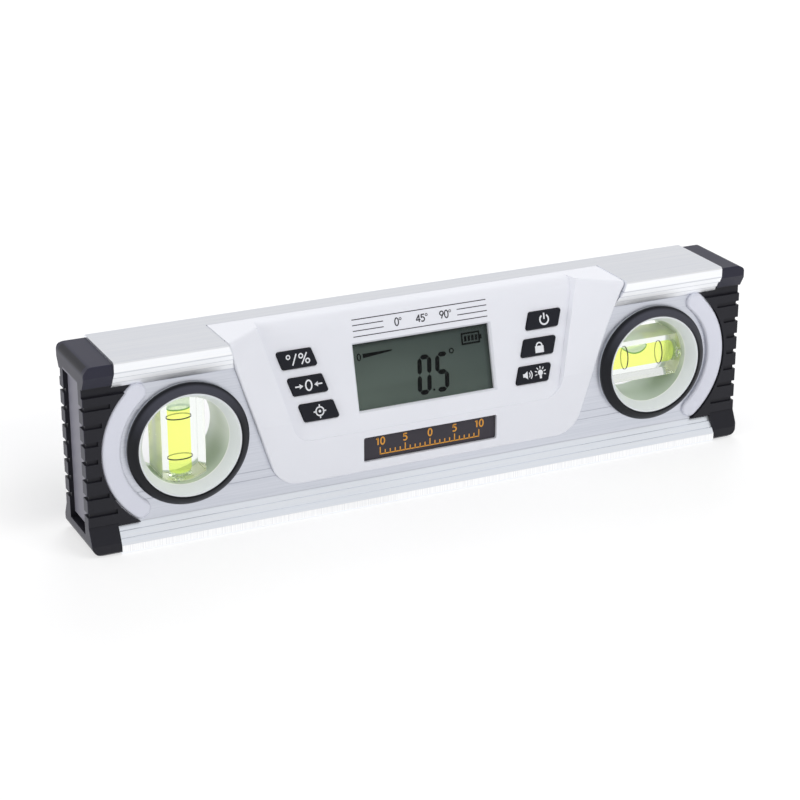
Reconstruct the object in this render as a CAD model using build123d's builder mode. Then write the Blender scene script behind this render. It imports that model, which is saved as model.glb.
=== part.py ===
"""Compact digital spirit level with two vials, built as separate pieces in millimetres.

X runs along the level, the display faces -Y, Z is up, and the origin is the middle of the base.
"""

import os
from math import atan, cos, degrees, radians, sin, sqrt, tan

from build123d import *

# Whole level
LENGTH = 248.2
HEIGHT = 67.0
DEPTH = 30.2
HALF_DEPTH = DEPTH / 2

# Aluminium rail
RAIL_LENGTH = 228.0
RAIL_END = RAIL_LENGTH / 2
EDGE_CHAMFER = 0.7
BOTTOM_LIP = 3.0
TOP_LIP = 3.7
SLOPE_RUN = 1.2
BOTTOM_SLOPE_RISE = 1.97
TOP_SLOPE_RISE = 2.17
LEDGE = 0.45
SLOPES = 3
WEB_STEP = 0.15
WEB_LINES = (16.0, 18.85)
WEB = HALF_DEPTH - SLOPES * SLOPE_RUN - (SLOPES - 1) * LEDGE - len(WEB_LINES) * WEB_STEP
WALL = 2.0
HOLLOW_BOTTOM = 4.2
HOLLOW_TOP = 62.4
HOLLOW_CORNER = 1.5

# Vials
VIAL_X = 88.5
VIAL_Z = HEIGHT / 2
VIAL_HOLE = 19.5
BEZEL_RADIUS = 21.3
BEZEL_BORE = 18.1
BEZEL_FACE = 14.0
BEZEL_SHOULDER = 11.9
BEZEL_CROWN = (1.15, 1.2)
BEZEL_LIP = (0.5, 0.3)
SPIGOT_GAP = 0.1
SLEEVE_RADIUS = 18.0
SLEEVE_MOUTH = 17.5
SLEEVE_FACE = 13.6
SLEEVE_BORE = 15.25
SLEEVE_CONE_END = 9.0
VIAL_RADIUS = 15.2
VIAL_WIDTH = 15.4
VIAL_DEPTH = 13.0
VIAL_BEVEL = 0.6
CHAMBER_RADIUS = 4.35
CHAMBER_HALF = 13.5
PLUG_LENGTH = 1.0
PLUG_GAP = 0.05
PLUMB_BUBBLE_RADIUS = 3.6
PLUMB_BUBBLE_LENGTH = 3.0
PLUMB_BUBBLE_START = -13.2
PLUMB_BUBBLE_ROUND = 1.4
LEVEL_BUBBLE_RADIUS = 1.9
LEVEL_BUBBLE_LENGTH = 10.5
LEVEL_BUBBLE_START = -7.8
LEVEL_BUBBLE_ROUND = 1.8
LEVEL_BUBBLE_LIFT = 2.15

# Silver crescents between the vials and the end caps
CRESCENT_INNER = 23.3
CRESCENT_OUTER = 30.0
CRESCENT_FACE = 11.7
CRESCENT_SWEEP = 50.0
CRESCENT_ROUND = 1.0

# Moulded end caps
CAP_TOP = 66.2
CAP_BOTTOM = 0.3
CAP_LIP_DEPTH = 14.6
CAP_PAD_DEPTH = 12.0
CAP_TIP = LENGTH / 2
CAP_LOW_LIP = 4.0
CAP_LOW_WAIST = 10.0
CAP_HIGH_WAIST = 58.1
CAP_HIGH_LIP = 62.6
CAP_LEDGE = 0.35
CAP_LOW_CORNER = 4.0
CAP_HIGH_CORNER = 3.0
CAP_ROUND = 0.8
CAP_PAD_ROUND = 0.3
CAP_GAP = 0.2
WING_LENGTH = 19.5
WING_HEIGHT = 49.0
CAP_PLUG_LENGTH = 5.0
GROOVES = 7
GROOVE_PITCH = 6.17
GROOVE_MIDDLE = 32.7
GROOVE_HEIGHT = 1.6
GROOVE_DEPTH = 0.8
GROOVE_END_RADIUS = 31.3
RELIEF_BOTTOM = 54.9
RELIEF_DEPTH = 1.2
SUNK_HALF = 7.8
SUNK_DEPTH = 1.6
SUNK_TOP = 59.0
SUNK_BOTTOM = 6.2
SLOT_HEIGHT = 1.9
SLOT_DEPTH = 1.2

# White front housing: a slab on the web, scooped back to a tilted panel
HOUSING_FACE = 12.0
HOUSING_BOTTOM = 12.0
SIDE_X = 71.6
SIDE_Z = 57.5
SIDE_SLOPE = 0.325
HOUSING_CORNER = 10.5
HOUSING_WALL = 2.0
COLLAR_INSET = 1.8
COLLAR_BACK = 4.8
FIT_GAP = 0.15
SHOULDER_BOTTOM = 48.0
SHOULDER_ROUND = 1.5
ROOF_BACK = 5.9
ROOF_BOTTOM = HEIGHT - TOP_LIP
ROOF_ROUND = 6.0
EDGE_ROUND = 0.5
LOWER_WALL = 2.6
PANEL_LEAN = 0.254
PANEL_Y = -8.44
PANEL_Z = 40.0
RIM_HEIGHT = 2.06
RIM_DRAFT = 15.0
RIM_X = 51.7
RIM_Z = 34.0
RIM_SLOPE = 0.259
RECESS_BOTTOM = 27.0
RECESS_CORNER = 6.0
RECESS_REACH = 20.0
RECESS_TOP = 71.0
SCOOP_EDGE_X = 80.0
SCOOP_EDGE_Y = -19.1
SCOOP_FRONT = 30.0
SCOOP_TOP = 68.0

# Display stack, measured back from the panel face
LENS_WIDTH = 51.8
LENS_BOTTOM = 33.5
LENS_TOP = 55.8
LENS_DEPTH = 0.9
LENS_BEVEL = 0.6
LENS_GAP = 0.05
GLASS_WIDTH = 57.0
GLASS_BOTTOM = 31.6
GLASS_TOP = 58.4
GLASS_BACK = 4.0
BACKLIGHT_WIDTH = 53.0
BACKLIGHT_BACK = 5.4
STRIP_WIDTH = 48.0
STRIP_HEIGHT = 1.6
BOARD_FRONT = 5.6
BOARD_BACK = 6.8

# Push buttons, three a side
BUTTON_ROWS = 3
BUTTON_WIDTH = 12.7
BUTTON_HEIGHT = 6.0
BUTTON_SLANT = 0.31
BUTTON_CORNER = 0.7
BUTTON_X = 46.93
BUTTON_Z = 54.25
BUTTON_STEP_X = 2.95
BUTTON_STEP_Z = 9.03
BUTTON_GAP = 0.25
BUTTON_PROUD = 1.0
BUTTON_LIP = 0.8
BUTTON_LIP_FRONT = 2.2
BUTTON_LIP_BACK = 3.0
BUTTON_TRAVEL = 0.8
BUTTON_ROUND = 0.5
MAT_FRONT = 4.7
MAT_MARGIN = 1.8
DOME_RADIUS = 2.2
DOME_GAP = 0.4

# Circuit board and what it carries
BOARD_WIDTH = 112.0
BOARD_BOTTOM = 33.0
BOARD_TOP = 63.8
NOTCH_WIDTH = 58.4
NOTCH_TOP = 43.8
BOARD_SCREW_X = 31.0
BOARD_SCREW_ZS = (36.5, 61.0)
BOARD_BOSS = 1.8
BOARD_SCREW_SHANK = 0.95
BOARD_SCREW_HOLE = 1.0
BOARD_SCREW_HEAD = 1.7
BOARD_SCREW_HEAD_HEIGHT = 1.1
BOARD_SCREW_LENGTH = 4.3
CHIP_SPOT = (-12.0, 54.0)
CHIP_SIZE = 9.0
CHIP_HEIGHT = 1.4
SENSOR_SPOT = (44.0, 52.0)
SENSOR_SIZE = 5.0
BUZZER_SPOT = (-44.0, 43.5)
BUZZER_RADIUS = 4.5
BUZZER_HEIGHT = 4.0
BUZZER_PORT = 1.0

# Bare plate on the lower facet
PLATE_WIDTH = 50.7
PLATE_BOTTOM = 15.6
PLATE_TOP = 24.2
PLATE_FLOOR = -10.4
PLATE_THICK = 0.6
PLATE_CORNER = 0.5
PLATE_GAP = 0.2

# Rear cover, its door and its screws
COVER_TOP = 52.0
COVER_BOTTOM = 13.7
COVER_FACE = 13.0
COVER_WALL = 2.4
COVER_TOP_CORNER = 6.0
COVER_ROUND = 1.2
SCREWS = ((62.5, 46.5), (53.0, 19.0))
SCREW_SHANK = 1.25
SCREW_HOLE = 1.3
SCREW_HEAD = 2.3
SCREW_HEAD_HEIGHT = 1.5
SCREW_SEAT = 2.5
SCREW_SEAT_DEPTH = 1.7
SCREW_LENGTH = 14.0
SCREW_ROOM = 0.4
CROSS_HALF = 1.4
CROSS_WIDTH = 0.6
CROSS_DEPTH = 0.8
BOSS_RADIUS = 2.5
BOSS_MEET = 5.0
BOSS_ROOT = 1.0
DOOR_HALF = 26.2
DOOR_TOP = 40.6
DOOR_GAP = 0.3
HINGE_Z = 19.3
HINGE_PIN = 0.7
HINGE_HOLE = 0.75
HINGE_PIN_LENGTH = 1.8
THUMB_RADIUS = 6.0
THUMB_DEPTH = 0.9

# Battery bay
CELL_RADIUS = 5.25
CELL_BODY = 43.3
CELL_NUB_RADIUS = 1.9
CELL_NUB = 1.2
CELL_BEVEL = 0.4
CELL_Y = 4.2
CELL_ZS = {"lower": 23.7, "upper": 34.6}
TRAY_HALF = 26.3
TRAY_TOP = 41.2
TRAY_FRONT = -2.0
TRAY_WALL = 0.8
TRAY_REAR = 9.0
CONTACT_THICK = 0.4
CONTACT_HALF = 3.6
LEAF_HALF = 2.6
LEAF_REACH = 2.7
LEAF_FOLD = 0.57
RIVET_RADIUS = 0.8
RIVET_GAP = 0.05
RIVET_LENGTH = 1.2
LEAD_RADIUS = 0.6
LEAD_BEND = 2.4
LEAD_XS = {"lower": -34.8, "upper": -32.4}
LEAD_TOP = 47.0

# Base magnets
MAGNET_RADIUS = 5.0
MAGNET_HEIGHT = 3.0
MAGNET_XS = (-45.0, 45.0)
MAGNET_GAP = 0.05

FAR = 200.0
TILT = atan(PANEL_LEAN)
DOME_FRONT = BUTTON_LIP_BACK + BUTTON_TRAVEL + DOME_GAP
COVER_INSIDE = COVER_FACE - COVER_WALL
HINGE_Y = COVER_FACE - COVER_WALL / 2
TRAY_BOTTOM = COVER_BOTTOM + COLLAR_INSET + HOUSING_WALL
RIM_START = PANEL_Z + (RIM_HEIGHT / cos(TILT) - HOUSING_FACE - PANEL_Y) / PANEL_LEAN
PANEL = Plane(origin=(0, PANEL_Y, PANEL_Z), x_dir=(1, 0, 0), z_dir=(0, -cos(TILT), sin(TILT)))
SIDES = {"left": -1, "right": 1}
FACES = {"front": -1, "rear": 1}


def facing(y):
    """Upright plane at depth y, seen from the front: x to the right, z up."""
    return Plane.XZ.offset(-y)


def up_panel(z):
    """Distance up the tilted panel of the point at height z."""
    return (z - PANEL_Z) / cos(TILT)


def side_x(z):
    """Half width of the housing outline at height z."""
    return SIDE_X - SIDE_SLOPE * (SIDE_Z - z)


def rim_x(z):
    """Half width of the recessed panel at height z."""
    return RIM_X + RIM_SLOPE * (z - RIM_Z)


def panel_y(z, behind=0.0):
    """Depth of the panel face at height z, or of a plane behind it."""
    return PANEL_Y + (z - PANEL_Z) * PANEL_LEAN + behind / cos(TILT)


def save(piece, name):
    """Label a finished piece and write it out."""
    piece.part.label = name
    export_step(piece.part, f"parts/{name}.step")


def outline(y, top, bottom, inset, top_corner=0.0):
    """Housing outline on an upright plane: slanted sides and large lower corners."""
    with BuildSketch(facing(y)) as face:
        with BuildLine():
            Polyline(
                (-side_x(top), top),
                (-side_x(bottom), bottom),
                (side_x(bottom), bottom),
                (side_x(top), top),
                close=True,
            )
        make_face()
        fillet(face.vertices().group_by(Axis.Y)[0], HOUSING_CORNER)
        if top_corner:
            fillet(face.vertices().group_by(Axis.Y)[-1], top_corner)
        if inset:
            offset(amount=-inset, kind=Kind.INTERSECTION, mode=Mode.REPLACE)
    return face.sketch


def top_strip(y, bottom, grow=0.0):
    """Top of the housing outline on an upright plane, from a given height up to the rail's top."""
    with BuildSketch(facing(y)) as face:
        with BuildLine():
            Polyline(
                (-side_x(HEIGHT) - grow, HEIGHT),
                (-side_x(bottom) - grow, bottom),
                (side_x(bottom) + grow, bottom),
                (side_x(HEIGHT) + grow, HEIGHT),
                close=True,
            )
        make_face()
    return face.sketch


def panel_rectangle(behind, width, bottom, top, grow=0.0):
    """Rectangle on a plane behind the panel, between two heights on the panel."""
    with BuildSketch(PANEL.offset(-behind)) as face:
        with Locations((0, (up_panel(bottom) + up_panel(top)) / 2)):
            Rectangle(width + 2 * grow, up_panel(top) - up_panel(bottom) + 2 * grow)
    return face.sketch


def plate_face(y, grow=0.0):
    """Outline of the bare plate on an upright plane."""
    with BuildSketch(facing(y)) as face:
        with Locations((0, (PLATE_BOTTOM + PLATE_TOP) / 2)):
            RectangleRounded(
                PLATE_WIDTH + 2 * grow,
                PLATE_TOP - PLATE_BOTTOM + 2 * grow,
                PLATE_CORNER + grow,
            )
    return face.sketch


def button_spot(side, row):
    """Middle of one button on the panel."""
    x = side * (BUTTON_X - BUTTON_STEP_X * row)
    return (x, up_panel(BUTTON_Z - BUTTON_STEP_Z * row))


def button_face(side, row, behind, grow=0.0):
    """Slanted button outline on a plane behind the panel, leaning outwards at its top."""
    half_w = BUTTON_WIDTH / 2 + grow
    half_h = BUTTON_HEIGHT / 2 + grow
    lean = side * BUTTON_SLANT * half_h
    x, v = button_spot(side, row)
    with BuildSketch(PANEL.offset(-behind)) as face:
        with BuildLine():
            Polyline(
                (x - half_w - lean, v - half_h),
                (x + half_w - lean, v - half_h),
                (x + half_w + lean, v + half_h),
                (x - half_w + lean, v + half_h),
                close=True,
            )
        make_face()
        fillet(face.vertices(), BUTTON_CORNER + grow)
    return face.sketch


def disc(plane, spots, radius):
    """Round faces at the given spots of a plane."""
    with BuildSketch(plane) as face:
        with Locations(*spots):
            Circle(radius)
    return face.sketch


def mirrored(points):
    """Both signs of x for each spot."""
    return [(sign * x, z) for x, z in points for sign in (-1, 1)]


board_spots = mirrored([(BOARD_SCREW_X, up_panel(z)) for z in BOARD_SCREW_ZS])

os.makedirs("parts", exist_ok=True)


# Rail: hollow aluminium section with stepped flange slopes
def flange_slope(lip, rise):
    """Half section from the flange edge to the web, as (depth, distance from the flange face)."""
    points = [(HALF_DEPTH - EDGE_CHAMFER, 0), (HALF_DEPTH, EDGE_CHAMFER), (HALF_DEPTH, lip)]
    y, z = HALF_DEPTH, lip
    for step in range(SLOPES):
        y, z = y - SLOPE_RUN, z + rise
        points.append((y, z))
        if step < SLOPES - 1:
            y -= LEDGE
            points.append((y, z))
    # Two fine steps in the web
    for line in WEB_LINES:
        points += [(y, line), (y - WEB_STEP, line)]
        y -= WEB_STEP
    return points


half_section = flange_slope(BOTTOM_LIP, BOTTOM_SLOPE_RISE)
half_section += [(y, HEIGHT - z) for y, z in reversed(flange_slope(TOP_LIP, TOP_SLOPE_RISE))]
rail_section = half_section + [(-y, z) for y, z in reversed(half_section)]

with BuildPart() as rail:
    with BuildSketch(Plane.YZ):
        with BuildLine():
            Polyline(*rail_section, close=True)
        make_face()
        with Locations((0, (HOLLOW_BOTTOM + HOLLOW_TOP) / 2)):
            RectangleRounded(
                2 * (WEB - WALL),
                HOLLOW_TOP - HOLLOW_BOTTOM,
                HOLLOW_CORNER,
                mode=Mode.SUBTRACT,
            )
    extrude(amount=RAIL_END, both=True)
    # Round holes for the vials, with a level seat for each bezel
    vial_spots = [(sign * VIAL_X, VIAL_Z) for sign in SIDES.values()]
    extrude(disc(facing(0), vial_spots, VIAL_HOLE), amount=FAR, both=True, mode=Mode.SUBTRACT)
    for sign in FACES.values():
        seat = disc(facing(sign * WEB), vial_spots, BEZEL_RADIUS + FIT_GAP)
        extrude(seat, amount=-sign * HALF_DEPTH, mode=Mode.SUBTRACT)
    # Level seat, window and notch for the display housing
    extrude(outline(-WEB, HEIGHT, HOUSING_BOTTOM, -FIT_GAP), amount=FAR, mode=Mode.SUBTRACT)
    window = outline(ROOF_BACK + FIT_GAP, HEIGHT, HOUSING_BOTTOM, COLLAR_INSET - FIT_GAP)
    extrude(window, amount=FAR, mode=Mode.SUBTRACT)
    notch = top_strip(ROOF_BACK + FIT_GAP, ROOF_BOTTOM, FIT_GAP)
    extrude(notch, amount=FAR, mode=Mode.SUBTRACT)
    # Level seat and window for the rear cover
    for depth, inset in ((WEB, -FIT_GAP), (0, COLLAR_INSET - FIT_GAP)):
        seat = outline(depth, COVER_TOP, COVER_BOTTOM, inset, COVER_TOP_CORNER)
        extrude(seat, amount=-FAR, mode=Mode.SUBTRACT)
    # Blind seats for the base magnets
    with Locations(*[(x, 0, 0) for x in MAGNET_XS]):
        Cylinder(
            MAGNET_RADIUS + MAGNET_GAP,
            MAGNET_HEIGHT + MAGNET_GAP,
            align=(Align.CENTER, Align.CENTER, Align.MIN),
            mode=Mode.SUBTRACT,
        )
save(rail, "rail")

with BuildPart() as base_magnets:
    with Locations(*[(x, 0, MAGNET_GAP) for x in MAGNET_XS]):
        Cylinder(MAGNET_RADIUS, MAGNET_HEIGHT, align=(Align.CENTER, Align.CENTER, Align.MIN))
save(base_magnets, "base_magnets")


# Vial bezels, sleeves, clear vials, their liquid and their plugs
def vial_axis(side):
    """Line through the middle of one vial, from front to rear."""
    return Axis((side * VIAL_X, 0, VIAL_Z), (0, 1, 0))


def vial_plane(side):
    """Level plane through the middle of one vial: radius along x, depth along y."""
    return Plane(origin=(side * VIAL_X, 0, VIAL_Z), x_dir=(1, 0, 0), z_dir=(0, 0, 1))


def build_bezel(side, face):
    """Black ring that sits on the web, with a rounded face and a spigot in the rail's hole."""
    lip_width, lip_depth = BEZEL_LIP
    crown_in, crown_out = BEZEL_CROWN
    with BuildPart() as bezel:
        with BuildSketch(vial_plane(side)):
            with BuildLine():
                Polyline(
                    (BEZEL_BORE + lip_width, face * BEZEL_FACE),
                    (BEZEL_BORE, face * (BEZEL_FACE - lip_depth)),
                    (BEZEL_BORE, face * (WEB - WALL)),
                    (VIAL_HOLE - SPIGOT_GAP, face * (WEB - WALL)),
                    (VIAL_HOLE - SPIGOT_GAP, face * WEB),
                    (BEZEL_RADIUS, face * WEB),
                    (BEZEL_RADIUS, face * BEZEL_SHOULDER),
                )
                ThreePointArc(
                    (BEZEL_RADIUS, face * BEZEL_SHOULDER),
                    (BEZEL_RADIUS - crown_in, face * (BEZEL_SHOULDER + crown_out)),
                    (BEZEL_BORE + lip_width, face * BEZEL_FACE),
                )
            make_face()
        revolve(axis=vial_axis(side))
    return bezel


def build_sleeve(side):
    """Pale sleeve through the rail, with a cone at each mouth round the vial."""
    with BuildPart() as sleeve:
        with BuildSketch(vial_plane(side)):
            with BuildLine():
                Polyline(
                    (SLEEVE_MOUTH, SLEEVE_FACE),
                    (SLEEVE_RADIUS, SLEEVE_FACE),
                    (SLEEVE_RADIUS, -SLEEVE_FACE),
                    (SLEEVE_MOUTH, -SLEEVE_FACE),
                    (SLEEVE_BORE, -SLEEVE_CONE_END),
                    (SLEEVE_BORE, SLEEVE_CONE_END),
                    close=True,
                )
            make_face()
        revolve(axis=vial_axis(side))
    return sleeve


def tube_plane(side, along, start):
    """Plane across a vial's chamber, at a distance from its middle towards its plug."""
    middle = Vector(side * VIAL_X, 0, VIAL_Z)
    return Plane(origin=middle + Vector(*along) * start, x_dir=(0, 1, 0), z_dir=along)


def build_vial(side, along):
    """Clear bar across the sleeve, rounded to it at both ends, with a chamber bored from its plug end."""
    round_ends = disc(facing(0), [(side * VIAL_X, VIAL_Z)], VIAL_RADIUS)
    with BuildPart() as vial:
        with BuildSketch(tube_plane(side, along, -VIAL_RADIUS)) as section:
            Rectangle(VIAL_DEPTH, VIAL_WIDTH)
            chamfer(section.vertices(), VIAL_BEVEL)
        extrude(amount=2 * VIAL_RADIUS)
        extrude(round_ends, amount=VIAL_DEPTH, both=True, mode=Mode.INTERSECT)
        extrude(
            disc(tube_plane(side, along, -CHAMBER_HALF), [(0, 0)], CHAMBER_RADIUS),
            amount=2 * CHAMBER_HALF + VIAL_RADIUS,
            mode=Mode.SUBTRACT,
        )
    return vial


def build_bubble(end_plane, radius, length, edge_round):
    """Round bubble with soft ends, from a plane across the chamber."""
    with BuildPart() as bubble:
        extrude(disc(end_plane, [(0, 0)], radius), amount=length)
        fillet(bubble.edges().filter_by(GeomType.CIRCLE), edge_round)
    return bubble.part


def build_liquid(side, along, bubble):
    """Liquid that fills the chamber, less a bubble at its high side."""
    with BuildPart() as liquid:
        extrude(
            disc(tube_plane(side, along, -CHAMBER_HALF), [(0, 0)], CHAMBER_RADIUS),
            amount=2 * CHAMBER_HALF,
        )
        add(bubble, mode=Mode.SUBTRACT)
    return liquid


def build_plug(side, along):
    """Disc that seals the chamber."""
    with BuildPart() as plug:
        extrude(
            disc(tube_plane(side, along, CHAMBER_HALF), [(0, 0)], CHAMBER_RADIUS - PLUG_GAP),
            amount=PLUG_LENGTH,
        )
    return plug


DOWN = (0, 0, -1)
RIGHT = (1, 0, 0)
for name, side in SIDES.items():
    for face_name, face in FACES.items():
        save(build_bezel(side, face), f"bezel_{face_name}_{name}")
    save(build_sleeve(side), f"vial_sleeve_{name}")
save(build_vial(-1, DOWN), "plumb_vial")
save(build_vial(1, RIGHT), "level_vial")
# The bubble lies under the top end of the upright chamber, and along the top of the lying one
plumb_end = tube_plane(-1, DOWN, PLUMB_BUBBLE_START)
plumb_bubble = build_bubble(plumb_end, PLUMB_BUBBLE_RADIUS, PLUMB_BUBBLE_LENGTH, PLUMB_BUBBLE_ROUND)
level_end = tube_plane(1, RIGHT, LEVEL_BUBBLE_START)
level_end.origin += Vector(0, 0, LEVEL_BUBBLE_LIFT)
level_bubble = build_bubble(level_end, LEVEL_BUBBLE_RADIUS, LEVEL_BUBBLE_LENGTH, LEVEL_BUBBLE_ROUND)
save(build_liquid(-1, DOWN, plumb_bubble), "plumb_liquid")
save(build_liquid(1, RIGHT, level_bubble), "level_liquid")
save(build_plug(-1, DOWN), "plumb_plug")
save(build_plug(1, RIGHT), "level_plug")


# Silver crescents on the web and the end caps
def build_crescent(side, face):
    """Raised round-ended bead, an arc about the vial, trimmed by the flange slopes."""
    middle = 0 if side > 0 else 180
    mean_radius = (CRESCENT_INNER + CRESCENT_OUTER) / 2
    spot = (side * VIAL_X, VIAL_Z)
    bead = CenterArc(spot, mean_radius, middle - CRESCENT_SWEEP, 2 * CRESCENT_SWEEP)
    with BuildPart() as crescent:
        with BuildSketch(facing(face * WEB)):
            SlotArc(bead, CRESCENT_OUTER - CRESCENT_INNER)
        extrude(amount=-face * (CRESCENT_FACE - WEB))
        crown = crescent.faces().sort_by(Axis.Y)[-1 if face > 0 else 0]
        fillet(crown.edges(), CRESCENT_ROUND)
        add(rail.part, mode=Mode.SUBTRACT)
    return crescent


for name, side in SIDES.items():
    for face_name, face in FACES.items():
        save(build_crescent(side, face), f"crescent_{face_name}_{name}")


# Moulded end caps: wide lips, grip pads, a sunk end panel and wings along the web
cap_half = [
    (0, CAP_BOTTOM),
    (CAP_LIP_DEPTH - EDGE_CHAMFER, CAP_BOTTOM),
    (CAP_LIP_DEPTH, CAP_BOTTOM + EDGE_CHAMFER),
    (CAP_LIP_DEPTH, CAP_LOW_LIP),
    (CAP_PAD_DEPTH - CAP_LEDGE, CAP_LOW_WAIST),
    (CAP_PAD_DEPTH, CAP_LOW_WAIST),
    (CAP_PAD_DEPTH, CAP_HIGH_WAIST),
    (CAP_LIP_DEPTH, CAP_HIGH_LIP),
    (CAP_LIP_DEPTH, CAP_TOP - EDGE_CHAMFER),
    (CAP_LIP_DEPTH - EDGE_CHAMFER, CAP_TOP),
    (0, CAP_TOP),
]
cap_section = cap_half + [(-y, z) for y, z in reversed(cap_half[1:-1])]


def groove_end(z):
    """Where a groove stops on the front, just outside the crescent."""
    return VIAL_X + sqrt(GROOVE_END_RADIUS**2 - (z - VIAL_Z) ** 2)


def cut_outwards(x, y, bottom, top):
    """Cut everything beyond a spot of the cap, away from its middle, between two heights."""
    with Locations((x, y, bottom)):
        Box(
            LENGTH,
            HALF_DEPTH,
            top - bottom,
            align=(Align.MIN, Align.MIN if y > 0 else Align.MAX, Align.MIN),
            mode=Mode.SUBTRACT,
        )


with BuildPart() as end_cap_right:
    with BuildSketch(Plane.YZ.offset(RAIL_END)):
        with BuildLine():
            Polyline(*cap_section, close=True)
        make_face()
    extrude(amount=CAP_TIP - RAIL_END)
    # Seen from the front, the tips have round corners
    with BuildSketch(facing(0)) as silhouette:
        with BuildLine():
            Polyline(
                (RAIL_END, CAP_BOTTOM),
                (CAP_TIP, CAP_BOTTOM),
                (CAP_TIP, CAP_TOP),
                (RAIL_END, CAP_TOP),
                close=True,
            )
        make_face()
        for end, corner in ((0, CAP_LOW_CORNER), (-1, CAP_HIGH_CORNER)):
            tips = silhouette.vertices().group_by(Axis.X)[-1].sort_by(Axis.Y)
            fillet(tips[end], corner)
    extrude(amount=FAR, both=True, mode=Mode.INTERSECT)
    # Seen from above, the lips have small round corners
    with BuildSketch(Plane.XY) as plan:
        with Locations((RAIL_END, 0)):
            Rectangle(CAP_TIP - RAIL_END, 2 * CAP_LIP_DEPTH, align=(Align.MIN, Align.CENTER))
        fillet(plan.vertices().group_by(Axis.X)[-1], CAP_ROUND)
    extrude(amount=FAR, mode=Mode.INTERSECT)
    pad_corners = end_cap_right.edges().filter_by(Axis.Z).sort_by(SortBy.LENGTH)
    pad_corners = pad_corners.filter_by_position(Axis.X, CAP_TIP - FIT_GAP, CAP_TIP + FIT_GAP)
    fillet(pad_corners[-2:], CAP_PAD_ROUND)
    # Sunk panel of the end face, sloped at its top, with a slot along its foot
    with BuildSketch(facing(0)):
        floor_x = CAP_TIP - SUNK_DEPTH
        with BuildLine():
            Polyline(
                (CAP_TIP, SUNK_BOTTOM),
                (floor_x - SLOT_DEPTH, SUNK_BOTTOM),
                (floor_x - SLOT_DEPTH, SUNK_BOTTOM + SLOT_HEIGHT),
                (floor_x, SUNK_BOTTOM + SLOT_HEIGHT),
                (floor_x, SUNK_TOP - SUNK_DEPTH),
                (CAP_TIP, SUNK_TOP),
                close=True,
            )
        make_face()
    extrude(amount=SUNK_HALF, both=True, mode=Mode.SUBTRACT)
    # Grooves between the grip pads wrap from the faces onto the end
    for row in range(GROOVES):
        bottom = GROOVE_MIDDLE + (row - GROOVES // 2) * GROOVE_PITCH - GROOVE_HEIGHT / 2
        top = bottom + GROOVE_HEIGHT
        for sign in FACES.values():
            cut_outwards(groove_end(bottom), sign * (CAP_PAD_DEPTH - GROOVE_DEPTH), bottom, top)
            cut_outwards(CAP_TIP - GROOVE_DEPTH, sign * SUNK_HALF, bottom, top)
    # Wings along both faces of the web, cut round the crescent, with a relief under the upper lip
    for sign in FACES.values():
        with BuildSketch(facing(sign * WEB)):
            with Locations((RAIL_END, VIAL_Z)):
                Rectangle(WING_LENGTH, WING_HEIGHT, align=(Align.MAX, Align.CENTER))
        extrude(amount=-sign * (CAP_PAD_DEPTH - WEB))
        well = disc(facing(sign * WEB), [(VIAL_X, VIAL_Z)], CRESCENT_OUTER + CAP_GAP)
        extrude(well, amount=-sign * HALF_DEPTH, mode=Mode.SUBTRACT)
        cut_outwards(VIAL_X, sign * (CAP_PAD_DEPTH - RELIEF_DEPTH), RELIEF_BOTTOM, CAP_HIGH_WAIST)
    # Plug inside the rail
    with BuildSketch(Plane.YZ.offset(RAIL_END)):
        with Locations((0, (HOLLOW_BOTTOM + HOLLOW_TOP) / 2)):
            RectangleRounded(
                2 * (WEB - WALL - CAP_GAP),
                HOLLOW_TOP - HOLLOW_BOTTOM - 2 * CAP_GAP,
                HOLLOW_CORNER,
            )
    extrude(amount=-CAP_PLUG_LENGTH)
    add(rail.part, mode=Mode.SUBTRACT)
save(end_cap_right, "end_cap_right")

with BuildPart() as end_cap_left:
    mirror(end_cap_right.part, about=Plane.YZ)
save(end_cap_left, "end_cap_left")


# Front housing: slab, shoulders and roof, scooped back to the recessed panel
def ruled_solid(low, high):
    """Solid between two outlines, with straight lines from each corner of one to its mate."""
    faces = [Face(Wire.make_polygon(ring)) for ring in (low, high)]
    for i in range(len(low)):
        below = Edge.make_line(low[i - 1], low[i])
        above = Edge.make_line(high[i - 1], high[i])
        faces.append(Face.make_surface_from_curves(below, above))
    return Solid(Shell(faces))


def scoop_ring(z, edge_y):
    """Corners of the scoop at one height: its rim before the panel and its outer edge."""
    half = [(rim_x(z), panel_y(z, -RIM_HEIGHT)), (SCOOP_EDGE_X, edge_y), (SCOOP_EDGE_X, -SCOOP_FRONT)]
    ring = half + [(-x, y) for x, y in reversed(half)]
    return [Vector(x, y, z) for x, y in ring]


scoop = ruled_solid(scoop_ring(RIM_START, -HOUSING_FACE), scoop_ring(SCOOP_TOP, SCOOP_EDGE_Y))

# The recess is a little wide, so that its drafted wall cuts the flank cleanly
with BuildPart() as recess:
    floor_inset = RIM_HEIGHT * tan(radians(RIM_DRAFT)) / 2
    with BuildSketch(PANEL) as floor:
        with BuildLine():
            Polyline(
                (floor_inset - rim_x(RECESS_TOP), up_panel(RECESS_TOP)),
                (floor_inset - rim_x(RECESS_BOTTOM), up_panel(RECESS_BOTTOM)),
                (rim_x(RECESS_BOTTOM) - floor_inset, up_panel(RECESS_BOTTOM)),
                (rim_x(RECESS_TOP) - floor_inset, up_panel(RECESS_TOP)),
                close=True,
            )
        make_face()
        fillet(floor.vertices().group_by(Axis.Y)[0], RECESS_CORNER)
    extrude(amount=RECESS_REACH, taper=-RIM_DRAFT)

with BuildPart() as cavity:
    inset = COLLAR_INSET + HOUSING_WALL
    extrude(outline(-HOUSING_FACE + LOWER_WALL, ROOF_BOTTOM + inset, HOUSING_BOTTOM, inset), amount=-DEPTH)
    split(bisect_by=PANEL.offset(-HOUSING_WALL), keep=Keep.BOTTOM)

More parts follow.
